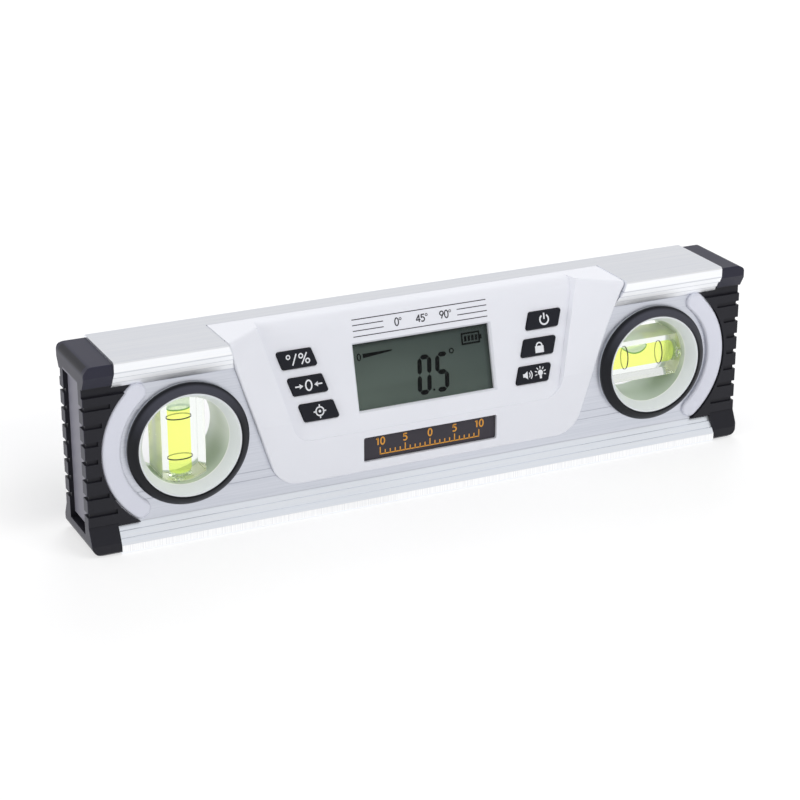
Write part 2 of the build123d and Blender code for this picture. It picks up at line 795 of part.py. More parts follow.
with BuildPart() as front_housing:
    # Slab on the web, shoulders that come forward to the flange, and a roof flush with the rail's top
    extrude(outline(-WEB, HEIGHT, HOUSING_BOTTOM, 0), amount=HOUSING_FACE - WEB)
    extrude(top_strip(-WEB, SHOULDER_BOTTOM), amount=HALF_DEPTH - WEB)
    extrude(top_strip(ROOF_BACK, ROOF_BOTTOM), amount=ROOF_BACK + WEB)
    # Collar inside the rail's window
    collar = outline(-WEB, ROOF_BOTTOM + 2 * COLLAR_INSET, HOUSING_BOTTOM, COLLAR_INSET)
    extrude(collar, amount=-WEB - COLLAR_BACK)
    add(scoop, mode=Mode.SUBTRACT)
    # Soft tops of the two shoulders
    top_curves = front_housing.edges().group_by(Axis.Z)[-1].filter_by(GeomType.BSPLINE).sort_by(Axis.X)
    fillet([top_curves[0], top_curves[-1]], SHOULDER_ROUND)
    # Soft front edge on every face that runs straight back from the outline
    sides = front_housing.faces().filter_by(lambda face: abs(face.normal_at().Y) < FIT_GAP)
    sides = sides.filter_by_position(Axis.Z, 0, HEIGHT - EDGE_ROUND)
    fillet(sides.edges().filter_by(lambda edge: edge.bounding_box().max.Y < -WEB - FIT_GAP), EDGE_ROUND)
    add(recess.part, mode=Mode.SUBTRACT)
    # Large round from the panel to the roof
    panel_top = front_housing.edges().group_by(Axis.Z)[-1].filter_by(Axis.X).sort_by(Axis.Y)[0]
    fillet(panel_top, ROOF_ROUND)
    add(cavity.part, mode=Mode.SUBTRACT)
    # Display opening with a bevel, and a hole for each button
    bevel = panel_rectangle(0, LENS_WIDTH, LENS_BOTTOM, LENS_TOP, LENS_BEVEL)
    bevel_angle = degrees(atan(LENS_BEVEL / LENS_DEPTH))
    extrude(bevel, amount=-LENS_DEPTH, taper=bevel_angle, mode=Mode.SUBTRACT)
    opening = panel_rectangle(0, LENS_WIDTH, LENS_BOTTOM, LENS_TOP)
    extrude(opening, amount=-HOUSING_WALL, mode=Mode.SUBTRACT)
    for side in SIDES.values():
        for row in range(BUTTON_ROWS):
            hole = button_face(side, row, -BUTTON_PROUD, BUTTON_GAP)
            extrude(hole, amount=-BUTTON_PROUD - HOUSING_WALL, mode=Mode.SUBTRACT)
    # Shallow bed for the bare plate
    bed = plate_face(-HOUSING_FACE, PLATE_GAP)
    extrude(bed, amount=-HOUSING_FACE - PLATE_FLOOR, mode=Mode.SUBTRACT)
    # Bosses for the board, square to the panel, and for the rear screws
    extrude(disc(PANEL.offset(-BOARD_FRONT), board_spots, BOARD_BOSS), amount=BOARD_FRONT - HOUSING_WALL)
    extrude(
        disc(PANEL.offset(-BOARD_FRONT), board_spots, BOARD_SCREW_HOLE),
        amount=BOARD_SCREW_LENGTH - BOARD_BACK + BOARD_FRONT + SCREW_ROOM,
        mode=Mode.SUBTRACT,
    )
    for x, z in mirrored(SCREWS):
        front = -HOUSING_FACE + LOWER_WALL if z < RECESS_BOTTOM else panel_y(z, HOUSING_WALL)
        extrude(disc(facing(BOSS_MEET), [(x, z)], BOSS_RADIUS), amount=BOSS_MEET - front + BOSS_ROOT)
    extrude(
        disc(facing(BOSS_MEET), mirrored(SCREWS), SCREW_HOLE),
        amount=SCREW_LENGTH - COVER_FACE + SCREW_SEAT_DEPTH + BOSS_MEET + SCREW_ROOM,
        mode=Mode.SUBTRACT,
    )
save(front_housing, "front_housing")

with BuildPart() as name_plate:
    extrude(plate_face(PLATE_FLOOR), amount=PLATE_THICK)
save(name_plate, "name_plate")


# Display stack behind the panel
with BuildPart() as display_lens:
    lens = panel_rectangle(HOUSING_WALL, LENS_WIDTH, LENS_BOTTOM, LENS_TOP, -LENS_GAP)
    extrude(lens, amount=HOUSING_WALL - LENS_DEPTH)
save(display_lens, "display_lens")

with BuildPart() as display_glass:
    glass = panel_rectangle(GLASS_BACK, GLASS_WIDTH, GLASS_BOTTOM, GLASS_TOP)
    extrude(glass, amount=GLASS_BACK - HOUSING_WALL)
save(display_glass, "display_glass")

with BuildPart() as display_backlight:
    light = panel_rectangle(BACKLIGHT_BACK, BACKLIGHT_WIDTH, LENS_BOTTOM, LENS_TOP)
    extrude(light, amount=BACKLIGHT_BACK - GLASS_BACK)
save(display_backlight, "display_backlight")

with BuildPart() as display_connector:
    strip = panel_rectangle(BOARD_FRONT, STRIP_WIDTH, GLASS_TOP - STRIP_HEIGHT, GLASS_TOP)
    extrude(strip, amount=BOARD_FRONT - GLASS_BACK)
save(display_connector, "display_connector")


# Push buttons, each a cap with a lip that keeps it behind the panel
def build_button(side, row):
    """Slanted cap with softened edges and a wider lip behind the panel wall."""
    with BuildPart() as button:
        cap = button_face(side, row, BUTTON_LIP_BACK)
        extrude(cap, amount=BUTTON_LIP_BACK + BUTTON_PROUD)
        fillet(button.faces().sort_by(Axis(PANEL.origin, PANEL.z_dir))[-1].edges(), BUTTON_ROUND)
        lip = button_face(side, row, BUTTON_LIP_BACK, BUTTON_LIP)
        extrude(lip, amount=BUTTON_LIP_BACK - BUTTON_LIP_FRONT)
    return button


def build_key_mat(side):
    """Rubber sheet on the board with a dome behind each button."""
    with BuildPart() as mat:
        for row in range(BUTTON_ROWS):
            extrude(button_face(side, row, BOARD_FRONT, MAT_MARGIN), amount=BOARD_FRONT - MAT_FRONT)
        spots = [button_spot(side, row) for row in range(BUTTON_ROWS)]
        extrude(disc(PANEL.offset(-MAT_FRONT), spots, DOME_RADIUS), amount=MAT_FRONT - DOME_FRONT)
    return mat


BUTTON_NAMES = {
    "left": ("unit", "reference", "calibrate"),
    "right": ("power", "hold", "sound_light"),
}
for name, side in SIDES.items():
    for row, button_name in enumerate(BUTTON_NAMES[name]):
        save(build_button(side, row), f"button_{button_name}")
    save(build_key_mat(side), f"key_mat_{name}")


# Circuit board, cut away round the battery bay, with its parts on the rear
with BuildPart() as circuit_board:
    sheet = panel_rectangle(BOARD_BACK, BOARD_WIDTH, BOARD_BOTTOM, BOARD_TOP)
    extrude(sheet, amount=BOARD_BACK - BOARD_FRONT)
    notch = panel_rectangle(BOARD_BACK, NOTCH_WIDTH, 0, NOTCH_TOP)
    extrude(notch, amount=BOARD_BACK - BOARD_FRONT, mode=Mode.SUBTRACT)
    holes = disc(PANEL.offset(-BOARD_BACK), board_spots, BOARD_SCREW_HOLE)
    extrude(holes, amount=BOARD_BACK - BOARD_FRONT, mode=Mode.SUBTRACT)
save(circuit_board, "circuit_board")

with BuildPart() as board_screws:
    extrude(disc(PANEL.offset(-BOARD_BACK), board_spots, BOARD_SCREW_HEAD), amount=-BOARD_SCREW_HEAD_HEIGHT)
    extrude(disc(PANEL.offset(-BOARD_BACK), board_spots, BOARD_SCREW_SHANK), amount=BOARD_SCREW_LENGTH)
save(board_screws, "board_screws")


def build_chip(spot, size):
    """Flat square package on the rear of the board."""
    x, z = spot
    with BuildPart() as chip:
        with BuildSketch(PANEL.offset(-BOARD_BACK)):
            with Locations((x, up_panel(z))):
                Rectangle(size, size)
        extrude(amount=-CHIP_HEIGHT)
    return chip


save(build_chip(CHIP_SPOT, CHIP_SIZE), "controller_chip")
save(build_chip(SENSOR_SPOT, SENSOR_SIZE), "tilt_sensor")

with BuildPart() as buzzer:
    spot = (BUZZER_SPOT[0], up_panel(BUZZER_SPOT[1]))
    extrude(disc(PANEL.offset(-BOARD_BACK), [spot], BUZZER_RADIUS), amount=-BUZZER_HEIGHT)
    rear_face = PANEL.offset(-BOARD_BACK - BUZZER_HEIGHT)
    extrude(disc(rear_face, [spot], BUZZER_PORT), amount=BUZZER_PORT, mode=Mode.SUBTRACT)
save(buzzer, "buzzer")


# Rear cover, with a battery door on two moulded pins
with BuildPart() as rear_cover:
    extrude(outline(WEB, COVER_TOP, COVER_BOTTOM, 0, COVER_TOP_CORNER), amount=WEB - COVER_FACE)
    fillet(rear_cover.faces().sort_by(Axis.Y)[-1].edges(), COVER_ROUND)
    collar = outline(WEB, COVER_TOP, COVER_BOTTOM, COLLAR_INSET, COVER_TOP_CORNER)
    extrude(collar, amount=WEB - BOSS_MEET)
    inside = outline(COVER_INSIDE, COVER_TOP, COVER_BOTTOM, COLLAR_INSET + HOUSING_WALL, COVER_TOP_CORNER)
    extrude(inside, amount=DEPTH, mode=Mode.SUBTRACT)
    extrude(disc(facing(BOSS_MEET), mirrored(SCREWS), BOSS_RADIUS), amount=BOSS_MEET - COVER_INSIDE)
    holes = disc(facing(COVER_FACE), mirrored(SCREWS), SCREW_HOLE)
    extrude(holes, amount=DEPTH, mode=Mode.SUBTRACT)
    seats = disc(facing(COVER_FACE), mirrored(SCREWS), SCREW_SEAT)
    extrude(seats, amount=SCREW_SEAT_DEPTH, mode=Mode.SUBTRACT)
    # Door opening and the holes for its pins
    door_low = HINGE_Z - COVER_WALL / 2
    with Locations((0, COVER_INSIDE - 2 * DOOR_GAP, door_low - DOOR_GAP)):
        Box(
            2 * (DOOR_HALF + DOOR_GAP),
            DEPTH,
            DOOR_TOP - door_low + 2 * DOOR_GAP,
            align=(Align.CENTER, Align.MIN, Align.MIN),
            mode=Mode.SUBTRACT,
        )
    hinge_spot = [(HINGE_Y, HINGE_Z)]
    pin_reach = DOOR_HALF + HINGE_PIN_LENGTH
    pin_holes = disc(Plane.YZ, hinge_spot, HINGE_HOLE)
    extrude(pin_holes, amount=pin_reach + DOOR_GAP, both=True, mode=Mode.SUBTRACT)
save(rear_cover, "rear_cover")

with BuildPart() as battery_door:
    with Locations((0, COVER_INSIDE, HINGE_Z)):
        Box(
            2 * DOOR_HALF,
            COVER_WALL,
            DOOR_TOP - HINGE_Z,
            align=(Align.CENTER, Align.MIN, Align.MIN),
        )
    extrude(disc(Plane.YZ, hinge_spot, COVER_WALL / 2), amount=DOOR_HALF, both=True)
    extrude(disc(Plane.YZ, hinge_spot, HINGE_PIN), amount=pin_reach, both=True)
    # Scooped thumb grip below the free edge
    grip = disc(facing(COVER_FACE), [(0, DOOR_TOP - THUMB_RADIUS - COVER_WALL)], THUMB_RADIUS)
    extrude(grip, amount=THUMB_DEPTH, mode=Mode.SUBTRACT)
save(battery_door, "battery_door")

with BuildPart() as cover_screws:
    seat_y = COVER_FACE - SCREW_SEAT_DEPTH
    extrude(disc(facing(seat_y), mirrored(SCREWS), SCREW_HEAD), amount=-SCREW_HEAD_HEIGHT)
    extrude(disc(facing(seat_y), mirrored(SCREWS), SCREW_SHANK), amount=SCREW_LENGTH)
    with BuildSketch(facing(seat_y + SCREW_HEAD_HEIGHT)):
        with Locations(*mirrored(SCREWS)):
            Rectangle(2 * CROSS_HALF, CROSS_WIDTH)
            Rectangle(CROSS_WIDTH, 2 * CROSS_HALF)
    extrude(amount=CROSS_DEPTH, mode=Mode.SUBTRACT)
save(cover_screws, "cover_screws")


# Battery bay: tray, two cells, their riveted contacts and the leads to the board
rivet_spots = [(CELL_Y, z) for z in CELL_ZS.values()]
with BuildPart() as battery_tray:
    with Locations((0, TRAY_FRONT, TRAY_BOTTOM)):
        Box(
            2 * TRAY_HALF,
            TRAY_REAR - TRAY_FRONT,
            TRAY_TOP - TRAY_BOTTOM,
            align=(Align.CENTER, Align.MIN, Align.MIN),
        )
    with Locations((0, TRAY_FRONT + TRAY_WALL, TRAY_BOTTOM + TRAY_WALL)):
        Box(
            2 * (TRAY_HALF - TRAY_WALL),
            DEPTH,
            TRAY_TOP - TRAY_BOTTOM - 2 * TRAY_WALL,
            align=(Align.CENTER, Align.MIN, Align.MIN),
            mode=Mode.SUBTRACT,
        )
    extrude(
        disc(Plane.YZ, rivet_spots, RIVET_RADIUS + RIVET_GAP),
        amount=LENGTH,
        both=True,
        mode=Mode.SUBTRACT,
    )
save(battery_tray, "battery_tray")


def build_cell(z, nub_side):
    """Cylindrical cell lying along the level, with its nub at one end."""
    body_plane = Plane.YZ.offset(-nub_side * (CELL_BODY + CELL_NUB) / 2)
    with BuildPart() as cell:
        extrude(disc(body_plane, [(CELL_Y, z)], CELL_RADIUS), amount=nub_side * CELL_BODY)
        chamfer(cell.edges().filter_by(GeomType.CIRCLE), CELL_BEVEL)
        nub_plane = body_plane.offset(nub_side * CELL_BODY)
        extrude(disc(nub_plane, [(CELL_Y, z)], CELL_NUB_RADIUS), amount=nub_side * CELL_NUB)
    return cell


def add_contact(side, z):
    """Leaf contact for one cell: a plate riveted to the tray's end wall, with a bent spring leaf."""
    wall_x = side * (TRAY_HALF - TRAY_WALL)
    bed_x = wall_x - side * CONTACT_THICK
    with BuildSketch(facing(CELL_Y + CONTACT_HALF)) as leaf:
        with BuildLine():
            Polyline(
                (wall_x, z - CONTACT_HALF),
                (bed_x, z - CONTACT_HALF),
                (bed_x, z - LEAF_HALF),
                (bed_x - side * LEAF_REACH, z),
                (bed_x, z + LEAF_HALF),
                (bed_x, z + CONTACT_HALF),
                (wall_x, z + CONTACT_HALF),
                close=True,
            )
        make_face()
        with BuildLine():
            Polyline(
                (bed_x, z - LEAF_HALF + LEAF_FOLD),
                (bed_x - side * (LEAF_REACH - LEAF_FOLD), z),
                (bed_x, z + LEAF_HALF - LEAF_FOLD),
                close=True,
            )
        make_face(mode=Mode.SUBTRACT)
    extrude(leaf.sketch, amount=2 * CONTACT_HALF)
    rivet = disc(Plane.YZ.offset(wall_x), [(CELL_Y, z)], RIVET_RADIUS)
    extrude(rivet, amount=side * (TRAY_WALL + RIVET_LENGTH))


for name, z in CELL_ZS.items():
    save(build_cell(z, 1 if name == "upper" else -1), f"battery_{name}")

with BuildPart() as battery_leaves:
    for z in CELL_ZS.values():
        add_contact(-1, z)
save(battery_leaves, "battery_leaves")

with BuildPart() as battery_bridge:
    for z in CELL_ZS.values():
        add_contact(1, z)
    bridge_x = TRAY_HALF - TRAY_WALL
    with Locations((bridge_x, CELL_Y, sum(CELL_ZS.values()) / 2)):
        Box(
            CONTACT_THICK,
            CONTACT_HALF,
            CELL_ZS["upper"] - CELL_ZS["lower"] - 2 * LEAF_HALF,
            align=(Align.MAX, Align.CENTER, Align.CENTER),
        )
save(battery_bridge, "battery_bridge")

with BuildPart() as battery_leads:
    for name, z in CELL_ZS.items():
        start = Vector(-TRAY_HALF - RIVET_LENGTH, CELL_Y, z)
        corner = Vector(LEAD_XS[name], CELL_Y, z)
        top = Vector(LEAD_XS[name], CELL_Y, LEAD_TOP)
        to_board = -BOARD_BACK - (top - PANEL.origin).dot(PANEL.z_dir)
        with BuildLine() as route:
            FilletPolyline(start, corner, top, top + PANEL.z_dir * to_board, radius=LEAD_BEND)
        with BuildSketch(Plane(start, z_dir=(-1, 0, 0))):
            Circle(LEAD_RADIUS)
        sweep(path=route.wire())
save(battery_leads, "battery_leads")
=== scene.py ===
# %% [markdown]
# # A compact digital level
#
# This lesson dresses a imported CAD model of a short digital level: a brushed aluminium rail with
# black end caps, two round vials, and a white housing with a display and six keys.
# The CAD pieces stay where they are and get finishes made of shader nodes. What a CAD piece does
# not carry, such as printed ink, display segments or a bubble, is worked out here with numpy.

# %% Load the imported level
from math import atan, cos, pi, sin

import bmesh
import bpy
import numpy as np
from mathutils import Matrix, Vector


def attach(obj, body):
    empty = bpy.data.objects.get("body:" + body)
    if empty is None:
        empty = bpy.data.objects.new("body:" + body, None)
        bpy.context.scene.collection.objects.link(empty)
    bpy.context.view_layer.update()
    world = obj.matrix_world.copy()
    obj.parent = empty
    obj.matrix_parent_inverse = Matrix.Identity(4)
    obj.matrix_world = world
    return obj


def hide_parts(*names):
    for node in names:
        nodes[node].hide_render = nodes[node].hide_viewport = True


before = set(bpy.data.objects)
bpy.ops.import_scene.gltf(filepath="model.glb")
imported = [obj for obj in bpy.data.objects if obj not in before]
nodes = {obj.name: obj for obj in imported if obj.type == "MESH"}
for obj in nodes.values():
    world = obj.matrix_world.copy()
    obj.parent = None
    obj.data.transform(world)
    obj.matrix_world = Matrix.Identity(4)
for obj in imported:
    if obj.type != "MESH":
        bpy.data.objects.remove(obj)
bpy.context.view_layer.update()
MM = 0.001

# %% [markdown]
# ## Camera
#
# The picture was taken from the left and a little above, with a long lens, so that the far end of
# the level is only slightly smaller than the near one. The place and lens were found by matching
# corners of the rail; a camera that looks straight at a point needs no shift and no roll.

# %% Camera
CAMERA_PLACE = (-0.322343, -0.665622, 0.319333)
CAMERA_AIM = (-0.006267, 0.0, 0.030965)
LENS_PIXELS = 2278.2
SENSOR = 36.0
PICTURE = 800


def aimed(name, data, place, aim):
    """Object at a place that looks at an aim along its own -z, as cameras and lamps do."""
    thing = bpy.data.objects.new(name, data)
    thing.location = place
    thing.rotation_mode = "QUATERNION"
    thing.rotation_quaternion = (Vector(aim) - Vector(place)).to_track_quat("-Z", "Y")
    bpy.context.scene.collection.objects.link(thing)
    return thing


camera_data = bpy.data.cameras.new("photo_camera")
camera_data.sensor_width = SENSOR
camera_data.lens = LENS_PIXELS * SENSOR / PICTURE
camera_data.clip_start = 0.01
camera_data.clip_end = 50.0
camera = aimed("photo_camera", camera_data, CAMERA_PLACE, CAMERA_AIM)
bpy.context.scene.camera = camera
print(f"camera lens {camera_data.lens:.1f} mm")

# %% [markdown]
# ## Shader sums as Python
#
# A finish is a small sum: a colour, plus a little noise, times a mask. Node by node that is hard to
# read. Here one class wraps a socket, so `1 - mask` adds a Math node by itself.


# %% Socket values
class Value:
    """A number that varies over a surface; each operator adds one Math node."""

    def __init__(self, book, socket):
        self.book = book
        self.socket = socket

    def math(self, operation, first, second=0.0):
        return self.book.node("ShaderNodeMath", {"operation": operation}, {0: first, 1: second})

    def __add__(self, other):
        return self.math("ADD", self, other)

    def __sub__(self, other):
        return self.math("SUBTRACT", self, other)

    def __rsub__(self, other):
        return self.math("SUBTRACT", other, self)

    def __mul__(self, other):
        return self.math("MULTIPLY", self, other)

    def __truediv__(self, other):
        return self.math("DIVIDE", self, other)

    def __rtruediv__(self, other):
        return self.math("DIVIDE", other, self)

    def __pow__(self, other):
        return self.math("POWER", self, other)

    def __abs__(self):
        return self.math("ABSOLUTE", self)

    __radd__ = __add__
    __rmul__ = __mul__

    def least(self, other):
        return self.math("MINIMUM", self, other)

    def most(self, other):
        return self.math("MAXIMUM", self, other)

    def step(self, low, high):
        """0 below low, 1 above high, and a smooth rise between them."""
        settings = {"interpolation_type": "SMOOTHSTEP"}
        sockets = {"Value": self, "From Min": low, "From Max": high}
        return self.book.node("ShaderNodeMapRange", settings, sockets)

    def past(self, edge, blur=0.1):
        """0 up to an edge, and 1 from the end of a short blur past it."""
        return self.step(edge, edge + blur)


# %% [markdown]
# A node tree is kept as a book that is written to with one method. It takes the node's type, then its
# settings, because these can change which sockets there are, and then values or links for the sockets.
# Colours are written as they are read off a screen and turned into linear light.


# %% Node book
class NodeBook:
    """A node tree that is written to with one method."""

    def __init__(self, tree):
        self.tree = tree
        tree.nodes.clear()

    def node(self, kind, settings=None, sockets=None, output=0):
        """Make a node: settings first, then the values or links of its sockets."""
        made = self.tree.nodes.new(kind)
        for key, value in (settings or {}).items():
            setattr(made, key, value)
        for key, value in (sockets or {}).items():
            self.plug(made.inputs[key], value)
        return Value(self, made.outputs[output]) if made.outputs else made

    def plug(self, socket, value):
        if isinstance(value, Value):
            self.tree.links.new(value.socket, socket)
        else:
            socket.default_value = value

    def seen_directly(self, *rays):
        """1 for the named kinds of ray, 0 for the rest."""
        found = [self.node("ShaderNodeLightPath", output=f"Is {ray} Ray") for ray in rays]
        return sum(found[1:], found[0]).least(1.0)


def paint(red, green, blue):
    """A colour as it is read off a screen, from 0 to 255, turned into linear light."""
    share = np.array([red, green, blue]) / 255
    linear = np.where(share <= 0.04045, share / 12.92, ((share + 0.055) / 1.055) ** 2.4)
    return (*linear.tolist(), 1.0)


# %% [markdown]
# ## A finish
#
# Every material is a Principled shader with a few sums before it. Patterns are read in Object
# coordinates: each piece sits at the origin, so those are simply millimetres on the real level.
# Noise that is stretched along one axis gives brushing, and fine even noise gives moulded grain.


# %% Finish class
class Finish(NodeBook):
    """One material: a Principled shader, its fixed sockets, and what varies over the surface."""

    def __init__(self, name, **fixed):
        self.material = bpy.data.materials.new(name)
        self.material.use_nodes = True
        super().__init__(self.material.node_tree)
        self.shader = self.tree.nodes.new("ShaderNodeBsdfPrincipled")
        self.output = self.tree.nodes.new("ShaderNodeOutputMaterial")
        self.tree.links.new(self.shader.outputs[0], self.output.inputs["Surface"])
        self.place = self.node("ShaderNodeTexCoord", output="Object")
        for key, value in fixed.items():
            self.set(key.replace("_", " ").title().replace("Ior", "IOR"), value)

    def set(self, socket, value):
        """Set or link one socket of the shader."""
        self.plug(self.shader.inputs[socket], value)

    def axes(self):
        """The place on the object along x, y and z, in millimetres."""
        split = self.node("ShaderNodeSeparateXYZ", sockets={0: self.place})
        outputs = split.socket.node.outputs
        return [Value(self, outputs[i]) / MM for i in range(3)]

    def noise(self, sizes, detail=2.0):
        """Noise from 0 to 1 whose blobs are about these many millimetres along x, y and z."""
        scale = [1 / (size * MM) for size in sizes]
        at = self.node("ShaderNodeMapping", sockets={"Vector": self.place, "Scale": scale})
        sockets = {"Vector": at, "Scale": 1.0, "Detail": detail}
        return self.node("ShaderNodeTexNoise", sockets=sockets)

    def blend(self, share, first, second):
        """A colour between two colours."""
        return self.node("ShaderNodeMix", {"data_type": "RGBA"}, {0: share, 6: first, 7: second}, 2)

    def surface(self, shader):
        """Use another shader than the plain Principled one."""
        self.plug(self.output.inputs["Surface"], shader)

    def gloss(self):
        """The Principled shader, to be mixed with another one."""
        return Value(self, self.shader.outputs[0])

    def mix(self, share, first, second):
        """A shader between two shaders."""
        return self.node("ShaderNodeMixShader", sockets={0: share, 1: first, 2: second})

    def see_through(self, colour):
        """A shader that lets light through straight, tinted by a plain colour."""
        return self.node("ShaderNodeBsdfTransparent", sockets={"Color": colour})

    def relief(self, height, depth):
        """Bump the surface by a height from 0 to 1 that stands for this many millimetres."""
        sockets = {"Height": height, "Distance": depth * MM, "Strength": 1.0}
        self.set("Normal", self.node("ShaderNodeBump", sockets=sockets))

    def dress(self, *names):
        """Put the finish on CAD pieces."""
        for name in names:
            nodes[name].material_slots[0].material = self.material


# %% [markdown]
# ## Stage and light
#
# A catalogue picture has a white sweep and large soft lamps. The world is plain white to the eye,
# to mirrors and to glass, and a little dimmer where it lights the level, so colours come out as
# they are written. The Light Path node tells these rays apart.

# %% White world
AMBIENT = 0.69

world = bpy.data.worlds.new("white_studio")
bpy.context.scene.world = world
world.use_nodes = True
sky = NodeBook(world.node_tree)
bright = sky.seen_directly("Camera", "Glossy", "Transmission")
backdrop = sky.node("ShaderNodeBackground", sockets={"Strength": AMBIENT + (1 - AMBIENT) * bright})
sky.node("ShaderNodeOutputWorld", sockets={"Surface": backdrop})
print(f"world at {AMBIENT} of white where it lights the level")

# %% [markdown]
# The floor is a sheet of paper. Metal and glass see it as plain white. To the eye it is part paper and
# part glow, which lifts it to white and keeps a soft shadow under the level. Close behind the level,
# where it only shows through the vials, it is left as plain paper.

# %% Paper floor
FLOOR_HALF = 6.0
FLOOR_DROP = -0.0001
FLOOR_LIFT = 0.55
FLOOR_GLOW = 1.12
FLOOR_THROUGH_GLASS = 1.0
BEHIND_NEAR = (10, 30)
BEHIND_FAR = (100, 160)
BEHIND_SIDE = (110, 160)

floor_mesh = bpy.data.meshes.new("floor")
corners = np.array([(-1, -1), (1, -1), (1, 1), (-1, 1)]) * FLOOR_HALF
floor_mesh.from_pydata(np.insert(corners, 2, FLOOR_DROP, axis=1).tolist(), [], [(0, 1, 2, 3)])
floor = bpy.data.objects.new("floor", floor_mesh)
bpy.context.scene.collection.objects.link(floor)

paper = Finish("white_paper", roughness=0.9)
fibre = paper.noise((40, 40, 40))
paper.set("Base Color", paper.blend(fibre, paint(249, 249, 250), paint(251, 251, 252)))
x, y, z = paper.axes()
behind = y.step(*BEHIND_NEAR) * (1 - y.step(*BEHIND_FAR)) * (1 - abs(x).step(*BEHIND_SIDE))
through_glass = paper.seen_directly("Transmission")
strength = FLOOR_GLOW - (FLOOR_GLOW - FLOOR_THROUGH_GLASS) * through_glass
glow = paper.node("ShaderNodeEmission", sockets={"Strength": strength})
to_eye = FLOOR_LIFT * paper.seen_directly("Camera") * (1 - behind)
lifted = paper.seen_directly("Glossy", "Transmission").most(to_eye)
paper.surface(paper.mix(lifted, paper.gloss(), glow))
floor_mesh.materials.append(paper.material)
print(f"floor of {2 * FLOOR_HALF:.0f} m")

# %% [markdown]
# Three large square lamps shape the level: one in front on the right, one from the left, and one from
# behind that lights the top. The power of each is worked out from its distance and from the share of
# plain light that it adds on a surface facing it, so moving a lamp does not change the exposure.

# %% Lamps
LAMP_AIM = (0.0, 0.0, 0.03)


def lamp(name, place, size, share):
    """Soft square lamp that adds this share of plain light to a surface facing it. It is not mirrored
    in the metal, which already mirrors the white studio."""
    data = bpy.data.lights.new(name, "AREA")
    data.size = size
    data.energy = share * pi**2 * (Vector(LAMP_AIM) - Vector(place)).length_squared
    aimed(name, data, place, LAMP_AIM).visible_glossy = False


lamp("key_lamp", (0.6, -0.85, 1.1), 0.8, 0.30)
lamp("left_lamp", (-1.3, -0.1, 0.5), 0.7, 0.30)
lamp("back_lamp", (0.5, 1.0, 0.9), 0.8, 0.36)
bpy.context.scene.view_settings.view_transform = "Standard"
print(f"{len(bpy.data.lights)} lamps")

# %% [markdown]
# ## Brushed aluminium rail
#
# The rail is drawn through a die and brushed, so its marks run along its length. Noise stretched a
# hundred times along x makes them. The flanges were ground, and they are painted brighter than the web
# between them, as painted highlights in place of the glints of the lamps. The narrow lips of the base
# were milled as well and carry short upright tool marks under a painted highlight. Masks on depth and
# height tell these faces apart.

# %% Marks on the rail
LIP_DEPTH = 14.9
LIP_HEIGHT = 3.0

rail_metal = Finish("brushed_aluminium", metallic=1.0)
x, y, z = rail_metal.axes()
draw_lines = rail_metal.noise((60, 0.35, 0.35), detail=4)
draw_bands = rail_metal.noise((220, 3.0, 3.0), detail=2)
mill_marks = rail_metal.noise((0.45, 5, 30), detail=3)
on_lip = abs(y).past(LIP_DEPTH) * (1 - z.past(LIP_HEIGHT))
marks = draw_lines + on_lip * (mill_marks - draw_lines)
streaks = rail_metal.noise((18, 0.3, 0.3), detail=3).step(0.56, 0.74)
tone = (draw_lines - 0.5) * 0.9 + (draw_bands - 0.5) * 0.6 + 0.5 - 0.35 * streaks
rail_metal.set("Roughness", 0.36 + 0.16 * (draw_bands - 0.5) + 0.12 * marks)
rail_metal.relief(marks, 0.012)
print("drawing lines along the rail, mill marks on its lips")

# %% [markdown]
# The tones come next. The web is duller than the flanges, the top is ground even, and the flange of
# the base is a little cooler. The other flange faces are painted brighter than the top, as highlights.
# Where the stepped slope of the upper flange turns, thin lines of painted shade lie in the creases.

# %% Tones of the rail
WEB_DEPTH = 10.6
WEB_TOP = 60.0
RAIL_TOP = 66.6
BASE_FLANGE = 12.0
SLOPE_STEPS = (63.3, 61.13, 58.96)

on_web = (1 - abs(y).past(WEB_DEPTH, 0.3)) * (1 - z.past(WEB_TOP, 1))
on_top = z.past(RAIL_TOP, 0.2)
# painted highlight: the flanges and the cooler base flange are painted brighter than the top
bright = rail_metal.blend(tone, paint(243, 246, 252), paint(255, 255, 255))
cool_highlight = rail_metal.blend(tone, paint(239, 245, 255), paint(250, 252, 255))
bright = rail_metal.blend(z.past(BASE_FLANGE, 1), cool_highlight, bright)
ground = rail_metal.blend(tone, paint(231, 234, 242), paint(248, 249, 252))
dull = rail_metal.blend(tone, paint(189, 193, 203), paint(219, 221, 229))
drawn = rail_metal.blend(on_web, rail_metal.blend(on_top, bright, ground), dull)
# painted shade: thin dark lines in the creases of the stepped slope
near_step_shade = [1 - abs(z - height).step(0.1, 0.35) for height in SLOPE_STEPS]
painted_step_shade = sum(near_step_shade[1:], near_step_shade[0]) * abs(y).past(WEB_DEPTH, 0.2)
drawn = rail_metal.blend(0.5 * painted_step_shade, drawn, paint(168, 172, 184))
# painted highlight: the milled lips are painted near white, along with their tool marks
milled_highlight = rail_metal.blend(mill_marks.step(0.3, 0.7), paint(236, 237, 240), paint(255, 255, 255))
rail_metal.set("Base Color", rail_metal.blend(on_lip, drawn, milled_highlight))
rail_metal.dress("rail")
print("rail dressed in brushed aluminium")

# %% [markdown]
# ## Moulded plastics
#
# Housing, caps, rings, keys and tray are all injection moulded. What tells them apart is the
# colour, how fine the spark-eroded grain of the mould is, and how glossy it came out. One function
# makes them all, with cloudy tone differences of a percent or two that real mouldings have.


